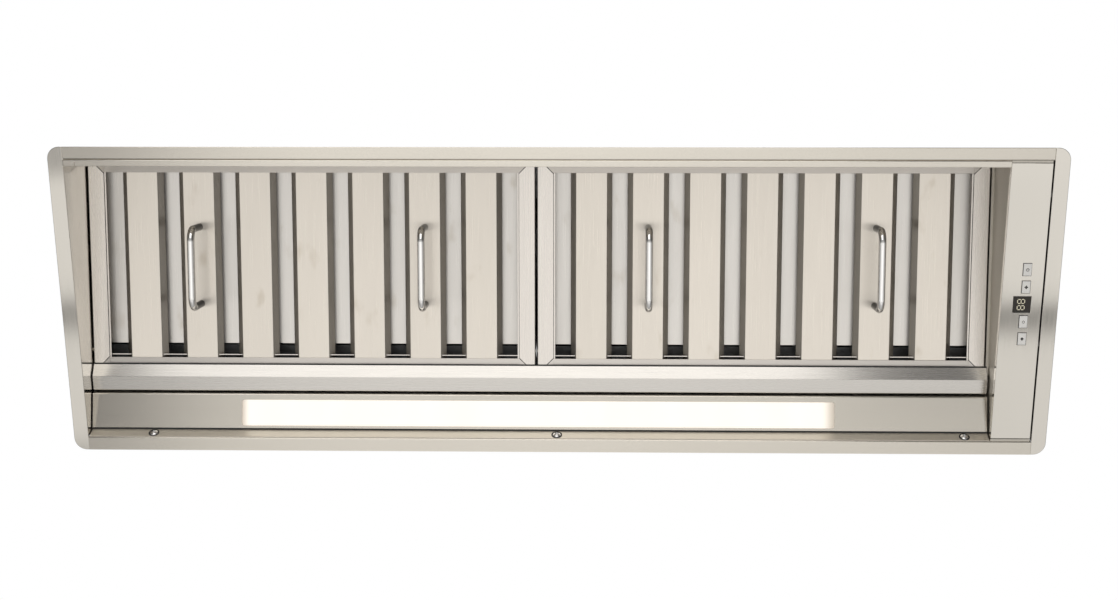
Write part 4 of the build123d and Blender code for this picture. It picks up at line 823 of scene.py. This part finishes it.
def ring(bm, centre, radius, width, heights, start=0.0, end=360.0, sides=28):
    """Flat ring on the panel, or a part of one, in short plates."""
    steps = round(sides * (end - start) / 360)
    turns = [math.radians(start + (end - start) * i / steps) for i in range(steps + 1)]
    inner, outer = radius - width / 2, radius + width / 2
    for a, b in zip(turns, turns[1:]):
        corners = ((inner, a), (outer, a), (outer, b), (inner, b))
        outline = [(centre[0] + r * math.cos(turn), centre[1] + r * math.sin(turn)) for r, turn in corners]
        prism(bm, outline, heights)


def arc_path(points, radius, steps):
    """Run of points with its corners rounded."""
    path = [points[0]]
    for before, corner, after in zip(points, points[1:], points[2:]):
        a = (before - corner).normalized()
        b = (after - corner).normalized()
        half = a.angle(b) / 2
        reach = radius / math.tan(half)
        centre = corner + (a + b).normalized() * (radius / math.sin(half))
        start, end = corner + a * reach, corner + b * reach
        u, v = start - centre, end - centre
        sweep = u.angle(v)
        for i in range(steps + 1):
            t = i / steps
            path.append(centre + (u * math.sin((1 - t) * sweep) + v * math.sin(t * sweep)) / math.sin(sweep))
    path.append(points[-1])
    return path


# ---------------------------------------------------------------- pieces
class HOOD_OT_casing(bpy.types.Operator):
    """Flanges, lip, rear strip, cheek and top panel"""

    bl_idname = "hood.casing"
    bl_label = "Casing"

    def execute(self, context):
        for node in ("front_shell", "rear_shell", "front_lip"):
            dress(node, "steel_x", "x", SHELL_EDGE)
        dress("rear_strip", "strip_steel_with_painted_light", "x")
        for node in ("left_side_shell", "right_side_shell"):
            dress(node, "flange_steel", "y", SHELL_EDGE)
        dress("control_cheek", "cheek_steel", "y")
        for node in ("top_panel", "pivot_rail", "stop_rail"):
            dress(node, "zinc", "x")
        dress("holding_magnets", "magnet", "x")
        dress("pivot_pins", "screw_steel", "x")
        return {"FINISHED"}


class HOOD_OT_strip_screws(bpy.types.Operator):
    """Wide low screws with a sunk middle along the rear strip, each in a black ring of painted shade"""

    bl_idname = "hood.strip_screws"
    bl_label = "Strip screws"

    def execute(self, context):
        heads, shade_rings = bmesh.new(), bmesh.new()
        foot, head = Vector((0, *STRIP_FOOT)), Vector((0, *STRIP_HEAD))
        run = (head - foot).normalized()
        out = Vector((0, -run.z, run.y))
        across = AXES["x"]
        frame = Matrix((across, out.cross(across), out)).transposed().to_4x4()
        for x in STRIP_SCREWS:
            place = Matrix.Translation((foot + head) / 2 + across * x) @ frame
            turned(heads, self.head(), sizes().screw_sides, place)
            # Each head sits in a black ring of painted shade.
            turned(shade_rings, SCREW_SHADE_RING, sizes().screw_sides, place)
        smooth(built("strip_screw_heads", heads, "screw_chrome", LINER, "screw_steel", "strip_screws"), 40)
        smooth(built("strip_screw_shade_rings", shade_rings, "black_plastic", LINER, "black_plastic"), 40)
        return {"FINISHED"}

    def head(self):
        """Profile of a low domed head with a round well in its middle."""
        well = SCREW_RADIUS * SCREW_WELL
        sunk, rim = SCREW_SKIRT
        profile = [(SCREW_RADIUS, sunk), (SCREW_RADIUS, rim)]
        for turn in (math.radians(15 * i) for i in range(1, 7)):
            radius = SCREW_RADIUS * SCREW_CROWN * math.cos(turn)
            if radius > well:
                profile.append((radius, rim + (SCREW_HEIGHT - rim) * math.sin(turn)))
        profile += [(well * out, SCREW_HEIGHT * up) for out, up in SCREW_WELL_SHAPE]
        return profile


class HOOD_OT_filters(bpy.types.Operator):
    """Filter frames, baffles and straps"""

    bl_idname = "hood.filters"
    bl_label = "Filters"

    def execute(self, context):
        for side in FILTER_MIDDLE:
            frame = f"{side}_filter_frame"
            rails, caps = f"{side}_filter_rails", f"{side}_filter_end_caps"
            dress(frame, "rail_steel", "y", name=rails, keep=lambda size: size[0] < CAP_LENGTH)
            dress(frame, "cap_steel", "x", name=caps, keep=lambda size: size[0] >= CAP_LENGTH)
            dress(f"{side}_filter_outer_baffles", "baffle_steel", "y", bends=BEND_WIDTHS)
            dress(f"{side}_filter_inner_baffles", "inner_baffle_steel", "y", bends=BEND_WIDTHS)
            self.edges(side)
            dress(f"{side}_filter_baffle_straps", "strap_steel", "x")
            dress(f"{side}_filter_handle_screws", "screw_steel", "z", 0.2)
        return {"FINISHED"}

    def edges(self, side):
        """The rails' turned edges with a painted shade line where each turns, the drain edge in each gap and
        the dark mitres at the corners.
        """
        middle = FILTER_MIDDLE[side]
        half = FILTER_WIDTH / 2
        bright, dark, corners = bmesh.new(), bmesh.new(), bmesh.new()
        for way in (-1, 1):
            rail = middle + way * (half - RAIL_FACE)
            ends = (RAIL_FACE, FILTER_LENGTH - RAIL_FACE)
            flat(bright, rectangle((rail - way * RAIL_RETURN, rail), ends), TURNED_DEPTH)
            flat(dark, rectangle((rail - way * RAIL_SHADE, rail), ends), SHADE_DEPTH)
            for end, inward in ((0.0, 1), (FILTER_LENGTH, -1)):
                self.mitre(corners, dark, rail, way, end, inward)
        edge = FILTER_LENGTH - DRAIN_EDGE
        for gap in self.gaps(middle, half):
            flat(bright, rectangle(gap, (edge, edge + DRAIN_WIDTH)), DRAIN_DEPTH)
        self.line_piece(f"{side}_filter_turned_edges", bright, "rail_steel", "baffle_steel", side)
        self.line_piece(f"{side}_filter_mitre_and_shade_lines", dark, "black_plastic", "black_plastic", side)
        self.line_piece(f"{side}_filter_corner_laps", corners, "cap_steel", "baffle_steel", side, "x")

    def mitre(self, corners, dark, rail, way, end, inward):
        """A cap's thin corner lap over a rail, and the dark line of its 45 degree mitre."""
        reach = RAIL_FACE - MITRE_STOP
        outer, inner = (0, RAIL_FACE), (reach, MITRE_STOP)
        lap = [outer, (0, RAIL_CHAMFER), (RAIL_CHAMFER, 0), (reach, 0), inner]
        line = [outer, inner, (reach, MITRE_STOP + MITRE_LINE), (0, RAIL_FACE + MITRE_LINE)]
        for bm, outline in ((corners, lap), (dark, line)):
            flat(bm, [(rail + way * out, end + inward * back) for out, back in outline], LAP_DEPTH)

    def gaps(self, middle, half):
        """X ranges of the openings between the outer baffles and beside the rails."""
        centres = [middle + (i - (BAFFLES - 1) / 2) * BAFFLE_PITCH for i in range(BAFFLES)]
        baffle, rail = BAFFLE_HALF + BAFFLE_BEND, half - RAIL_FACE - RAIL_RETURN
        starts = [middle - rail, *(x + baffle for x in centres)]
        ends = [*(x - baffle for x in centres), middle + rail]
        return zip(starts, ends)

    def line_piece(self, name, bm, look, slot, side, along="y"):
        piece = built(name, bm, look, f"{side}_filter", slot)
        grain_uv(piece.data, along)


class HOOD_OT_handles(bpy.types.Operator):
    """Bent round handles, polished"""

    bl_idname = "hood.handles"
    bl_label = "Handles"

    def execute(self, context):
        front = (FILTER_LENGTH - HANDLE_SPAN) / 2
        rear = front + HANDLE_SPAN
        grip = HANDLE_FOOT - HANDLE_STANDOFF
        run = ((front, HANDLE_FOOT), (front, grip), (rear, grip), (rear, HANDLE_FOOT))
        for side, middle in FILTER_MIDDLE.items():
            bm = bmesh.new()
            for index in HANDLE_BAFFLES:
                corners = [filter_point(middle + index * BAFFLE_PITCH, s, n) for s, n in run]
                tube(bm, arc_path(corners, HANDLE_BEND, HANDLE_STEPS), HANDLE_R, sizes().handle_sides)
            name = f"{side}_filter_handle_bars"
            piece = built(name, bm, "chrome", f"{side}_filter", "chrome", f"{side}_filter_handles")
            smooth(piece, 50)
        return {"FINISHED"}


class HOOD_OT_tray(bpy.types.Operator):
    """Grease tray and its clips"""

    bl_idname = "hood.tray"
    bl_label = "Grease tray"

    def execute(self, context):
        dress("grease_tray", "tray_steel", "x")
        dress("tray_clips", "spring_steel", "z", 0.15)
        # A black strip at the tray's lip is a painted shadow line.
        y, z = TRAY_LIP
        low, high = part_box("grease_tray")
        bm = bmesh.new()
        strip_along(bm, (low[0] / MM, high[0] / MM), [(y + out, z + up) for out, up in LIP_SHADOW_SECTION])
        built("tray_lip_painted_shadow", bm, "black_plastic", NODES["grease_tray"]["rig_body"], "black_plastic")
        return {"FINISHED"}


class HOOD_OT_light(bpy.types.Operator):
    """Light panel, diffuser, board, driver and housing"""

    bl_idname = "hood.light"
    bl_label = "Light"

    def execute(self, context):
        dress("light_panel", "steel_x", "x")
        dress("light_diffuser", "diffuser", "x", 0.5)
        dress("light_board", "board", "x", 0.1)
        dress("light_driver", "black_plastic", "x", 1.0)
        dress("light_housing", "zinc", "x")
        # A black strip along the panel's rear edge is a painted shadow line.
        y, z = LIGHT_REAR
        rise = (LIGHT_FRONT[1] - z) / (y - LIGHT_FRONT[0])
        front, lift = y - LIGHT_SHADOW_WIDTH, LIGHT_SHADOW_WIDTH * rise
        low, high = LIGHT_SHADOW_HEIGHT
        bm = bmesh.new()
        section = [(front, z + lift + low), (y, z + low), (y, z + high), (front, z + lift + high)]
        strip_along(bm, LIGHT_ENDS, section)
        built("light_panel_painted_shadow", bm, "black_plastic", LINER, "black_plastic")
        return {"FINISHED"}


# The strokes of a digit, each between two places that run from 0 to 1 across it and up it.
STROKES = (
    ((0.0, 1.0), (1.0, 1.0)),
    ((0.0, 0.5), (1.0, 0.5)),
    ((0.0, 0.0), (1.0, 0.0)),
    ((0.0, 0.5), (0.0, 1.0)),
    ((0.0, 0.0), (0.0, 0.5)),
    ((1.0, 0.5), (1.0, 1.0)),
    ((1.0, 0.0), (1.0, 0.5)),
)


class HOOD_OT_controls(bpy.types.Operator):
    """Control panel, display and buttons with their symbols"""

    bl_idname = "hood.controls"
    bl_label = "Controls"

    def execute(self, context):
        dress("control_panel", "flange_steel", "y")
        dress("display_window", "window", "y", 0.2)
        dress("display_module", "black_plastic", "y", 0.2)
        dress("control_board", "board", "y", 0.1)
        dress("board_posts", "black_plastic", "z", 0.1)
        self.digits()
        for name in BUTTONS:
            dress(name, "button", "y", 0.3)
        self.openings()
        self.symbols()
        self.fillers()
        return {"FINISHED"}

    def fillers(self):
        """Thin strips that narrow the gaps beside the right filter and at the control panel's ends."""
        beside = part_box("control_cheek")[0][0] / MM
        cheek, panel = bmesh.new(), bmesh.new()
        length = (CHEEK_FILLER_STOP, FILTER_LENGTH - CHEEK_FILLER_STOP)
        flat(cheek, rectangle((beside - CHEEK_FILLER, beside), length), CHEEK_FILLER_DEPTH)
        low, high = (Vector(corner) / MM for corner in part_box("control_panel"))
        for end, (near, far) in ((low.y, FRONT_FILLER), (high.y, REAR_FILLER)):
            prism(panel, rectangle((low.x, high.x), (end + near, end + far)), PANEL_FILLER_HEIGHT)
        for name, bm in (("cheek_filler", cheek), ("panel_fillers", panel)):
            piece = built(name, bm, "cheek_steel", LINER, "brushed_steel")
            grain_uv(piece.data, "y")

    def openings(self):
        """Dark edges of the buttons' openings, wider on the sides where the shade falls."""
        bm = bmesh.new()
        wide, narrow = RECESS
        half_x, half_y = BUTTON_SIZE[0] / 2, BUTTON_SIZE[1] / 2
        left, right = BUTTON_X - half_x - wide, BUTTON_X + half_x + narrow
        for y in BUTTONS.values():
            front, rear = y - half_y, y + half_y
            for across, along in (
                ((left, right), (front - wide, front)),
                ((left, right), (rear, rear + narrow)),
                ((left, left + wide), (front, rear)),
                ((right - narrow, right), (front, rear)),
            ):
                prism(bm, rectangle(across, along), RECESS_HEIGHT)
        built("button_openings", bm, "black_plastic", LINER, "black_plastic")

    def digits(self):
        """Two seven-segment digits that read along the panel's length."""
        bm = bmesh.new()
        x, y = WINDOW
        for column in (-0.5, 0.5):
            base = Vector((x - DIGIT_TALL / 2 - DIGIT_SHIFT, y + column * DIGIT_PITCH + DIGIT_WIDE / 2))
            for stroke in STROKES:
                start, end = (base + Vector((up * DIGIT_TALL, -over * DIGIT_WIDE)) for over, up in stroke)
                bar(bm, start, end, DIGIT_STROKE, DIGIT_HEIGHT, DIGIT_TRIM)
        built("display_digits", bm, "digit", LINER, "window")

    def symbols(self):
        """Small dark symbols on the buttons: a clock, a fan, a power mark and a lamp."""
        x, z = BUTTON_X, SYMBOL_HEIGHT
        for name, y in BUTTONS.items():
            bm = bmesh.new()
            if name == "timer_button":
                ring(bm, (x, y), 1.7, 0.55, z)
                bar(bm, (x, y), (x, y - 1.1), 0.4, z)
                bar(bm, (x, y), (x + 0.8, y), 0.4, z)
            elif name == "fan_button":
                ring(bm, (x, y), 0.35, 0.7, z, sides=12)
                for over, up in circle(1.3, 4):
                    ring(bm, (x + over, y + up), 0.45, 0.85, z, sides=12)
            elif name == "power_button":
                ring(bm, (x, y), 1.5, 0.5, z, -60, 240)
                bar(bm, (x, y - 0.4), (x, y - 2.0), 0.5, z)
            else:
                ring(bm, (x, y - 0.4), 0.85, 1.65, z, sides=18)
                bar(bm, (x - 0.7, y + 1.2), (x + 0.7, y + 1.2), 0.45, z)
                bar(bm, (x - 0.5, y + 1.9), (x + 0.5, y + 1.9), 0.4, z)
            built(f"{name}_symbol", bm, "mark", name, "black_plastic")


class HOOD_OT_blower(bpy.types.Operator):
    """Blower box, collar, flaps, wheel, scroll and motor"""

    bl_idname = "hood.blower"
    bl_label = "Blower"

    def execute(self, context):
        for node in (
            "blower_box", "blower_lid", "duct_collar", "scroll_wrapper", "scroll_sides", "inlet_rings",
            "motor_bracket",
        ):
            dress(node, "zinc", "x")
        for node in ("front_flap", "rear_flap", "impeller_wheel"):
            dress(node, "zinc", "x", 0.2)
        dress("damper_rod", "screw_steel", "x", 0.1)
        dress("motor_shaft", "screw_steel", "x", 0.2)
        dress("motor", "motor_paint", "x", 0.5)
        dress("casing_screws", "screw_steel", "z", 0.2)
        return {"FINISHED"}


class HOOD_OT_wiring(bpy.types.Operator):
    """Wiring box, gland and conduit"""

    bl_idname = "hood.wiring"
    bl_label = "Wiring"

    def execute(self, context):
        dress("wiring_box", "zinc", "x")
        dress("wiring_cover", "zinc", "x")
        dress("cable_gland", "black_plastic", "x", 0.4)
        dress("control_conduit", "grey_plastic", "x", 0.2)
        return {"FINISHED"}


# ---------------------------------------------------------------- stage
class HOOD_OT_stage(bpy.types.Operator):
    """Floor far below, soft lights and the camera"""

    bl_idname = "hood.stage"
    bl_label = "Stage"

    def execute(self, context):
        self.floor()
        self.world(context.scene)
        self.lights()
        self.camera(context.scene)
        context.scene.view_settings.view_transform = "Standard"
        return {"FINISHED"}

    def floor(self):
        """Pale floor, white to the camera; metal sees the studio's panels through it."""
        bm = bmesh.new()
        bmesh.ops.create_grid(bm, x_segments=1, y_segments=1, size=FLOOR_HALF)
        bmesh.ops.translate(bm, vec=(0, 0, -FLOOR_DROP), verts=bm.verts)
        floor = bpy.data.objects.new("floor", mesh_of("floor", bm))
        bpy.context.scene.collection.objects.link(floor)
        look = bpy.data.materials.new("pale_floor")
        look.use_nodes = True
        tree = look.node_tree
        tree.nodes.clear()
        matt = add(tree, "ShaderNodeBsdfDiffuse")
        matt.inputs["Color"].default_value = (*FLOOR_COLOUR, 1)
        clear = add(tree, "ShaderNodeBsdfTransparent")
        white = add(tree, "ShaderNodeEmission")
        white.inputs["Color"].default_value = (1, 1, 1, 1)
        others = by_ray(tree, "Is Glossy Ray", clear.outputs["BSDF"], matt.outputs["BSDF"])
        surface = by_ray(tree, "Is Camera Ray", white.outputs["Emission"], others)
        out = add(tree, "ShaderNodeOutputMaterial")
        tree.links.new(surface, out.inputs["Surface"])
        floor.data.materials.append(look)

    def world(self, scene):
        """White to the camera; to everything else a studio graded by direction."""
        world = bpy.data.worlds.new("studio")
        world.use_nodes = True
        tree = world.node_tree
        tree.nodes.clear()
        place = add(tree, "ShaderNodeTexCoord")
        split = add(tree, "ShaderNodeSeparateXYZ")
        down = add(tree, "ShaderNodeMath", operation="MULTIPLY")
        down.inputs[1].default_value = -1
        pitch = add(tree, "ShaderNodeMath", operation="ARCTAN2")
        tree.links.new(place.outputs["Generated"], split.inputs["Vector"])
        tree.links.new(split.outputs["Z"], down.inputs[0])
        tree.links.new(split.outputs["Y"], pitch.inputs[0])
        tree.links.new(down.outputs["Value"], pitch.inputs[1])
        angle = pitch.outputs["Value"]
        by_pitch = graded(tree, angle, [(math.radians(a), v) for a, v in STUDIO_BY_PITCH])
        by_side = graded(tree, split.outputs["X"], STUDIO_BY_SIDE)
        side = add(tree, "ShaderNodeMapRange")
        tree.links.new(within(tree, angle, EVEN_PITCH, EVEN_FADE), side.inputs["Value"])
        tree.links.new(by_side, side.inputs["To Min"])
        side.inputs["To Max"].default_value = EVEN_LEVEL
        beam = within(tree, angle, BEAM_PITCH, BEAM_FADE)
        level = ranged(tree, beam, (0, 1), (STUDIO_LEVEL, STUDIO_LEVEL * (1 - BEAM_DARK)))
        room = add(tree, "ShaderNodeBackground")
        room.inputs["Color"].default_value = (*LAMP_COLOUR, 1)
        strength = product(tree, product(tree, by_pitch, side.outputs["Result"]), level)
        tree.links.new(strength, room.inputs["Strength"])
        white = add(tree, "ShaderNodeBackground")
        white.inputs["Color"].default_value = (1, 1, 1, 1)
        surface = by_ray(tree, "Is Camera Ray", white.outputs["Background"], room.outputs["Background"])
        out = add(tree, "ShaderNodeOutputWorld")
        tree.links.new(surface, out.inputs["Surface"])
        scene.world = world

    def lights(self):
        """Area lamps, each a rectangle aimed at a point."""
        for name, (place, aim, size, power) in SOFTBOXES.items():
            lamp = bpy.data.lights.new(name, "AREA")
            lamp.shape = "RECTANGLE"
            lamp.size, lamp.size_y = size
            lamp.energy = power
            lamp.color = LAMP_COLOUR
            holder = bpy.data.objects.new(name, lamp)
            bpy.context.scene.collection.objects.link(holder)
            holder.location = place
            holder.rotation_euler = (Vector(aim) - Vector(place)).to_track_quat("-Z", "Y").to_euler()

    def camera(self, scene):
        data = bpy.data.cameras.new("camera")
        data.lens = sizes().camera_lens
        data.sensor_width = SENSOR_WIDTH
        data.sensor_fit = "HORIZONTAL"
        right = Vector(CAMERA_RIGHT).normalized()
        up = -Vector(CAMERA_DOWN).normalized()
        back = right.cross(up)
        frame = Matrix((right, up, back)).transposed().to_4x4()
        camera = bpy.data.objects.new("camera", data)
        camera.matrix_world = Matrix.Translation(Vector(CAMERA_PLACE) * MM) @ frame
        scene.collection.objects.link(camera)
        scene.camera = camera


def by_ray(tree, kind, seen, other):
    """Shader that shows one thing to rays of a kind and another to all other rays."""
    rays = add(tree, "ShaderNodeLightPath")
    mix = add(tree, "ShaderNodeMixShader")
    tree.links.new(rays.outputs[kind], mix.inputs["Fac"])
    tree.links.new(other, mix.inputs[1])
    tree.links.new(seen, mix.inputs[2])
    return mix.outputs["Shader"]


def graded(tree, source, stops):
    """Number that follows a source through given stops, linear between them."""
    low, high = stops[0][0], stops[-1][0]
    ramp = add(tree, "ShaderNodeValToRGB")
    line = ramp.color_ramp.elements
    while len(line) < len(stops):
        line.new(0.5)
    for element, (at, value) in zip(line, stops):
        element.position = (at - low) / (high - low)
        element.color = (value, value, value, 1)
    tree.links.new(ranged(tree, source, (low, high)), ramp.inputs["Fac"])
    return ramp.outputs["Color"]


def within(tree, source, span, fades):
    """One where a source angle lies in a span of degrees, fading to zero on either side."""
    rise = (math.radians(span[0] - fades[0]), math.radians(span[0]))
    fall = (math.radians(span[1] + fades[1]), math.radians(span[1]))
    return product(tree, ranged(tree, source, rise, smooth=True), ranged(tree, source, fall, smooth=True))


OPERATORS = (
    HOOD_OT_casing,
    HOOD_OT_strip_screws,
    HOOD_OT_filters,
    HOOD_OT_handles,
    HOOD_OT_tray,
    HOOD_OT_light,
    HOOD_OT_controls,
    HOOD_OT_blower,
    HOOD_OT_wiring,
    HOOD_OT_stage,
)


class VIEW3D_PT_hood(bpy.types.Panel):
    """Lists the hood insert's operators and settings"""

    bl_label = "Range Hood Insert"
    bl_idname = "VIEW3D_PT_hood"
    bl_space_type = "VIEW_3D"
    bl_region_type = "UI"
    bl_category = "Hood"

    def draw(self, context):
        column = self.layout.column(align=True)
        for operator in OPERATORS:
            column.operator(operator.bl_idname)
        for group in (context.scene.hood_sizes, context.scene.hood_finish):
            box = self.layout.box()
            for name in group.__annotations__:
                box.prop(group, name)


CLASSES = (HoodSizes, HoodFinish, *OPERATORS, VIEW3D_PT_hood)


def register():
    for cls in CLASSES:
        bpy.utils.register_class(cls)
    bpy.types.Scene.hood_sizes = PointerProperty(type=HoodSizes)
    bpy.types.Scene.hood_finish = PointerProperty(type=HoodFinish)


def unregister():
    del bpy.types.Scene.hood_finish
    del bpy.types.Scene.hood_sizes
    for cls in reversed(CLASSES):
        bpy.utils.unregister_class(cls)


def main():
    register()
    for operator in OPERATORS:
        group, name = operator.bl_idname.split(".")
        getattr(getattr(bpy.ops, group), name)()


if __name__ == "__main__":
    main()
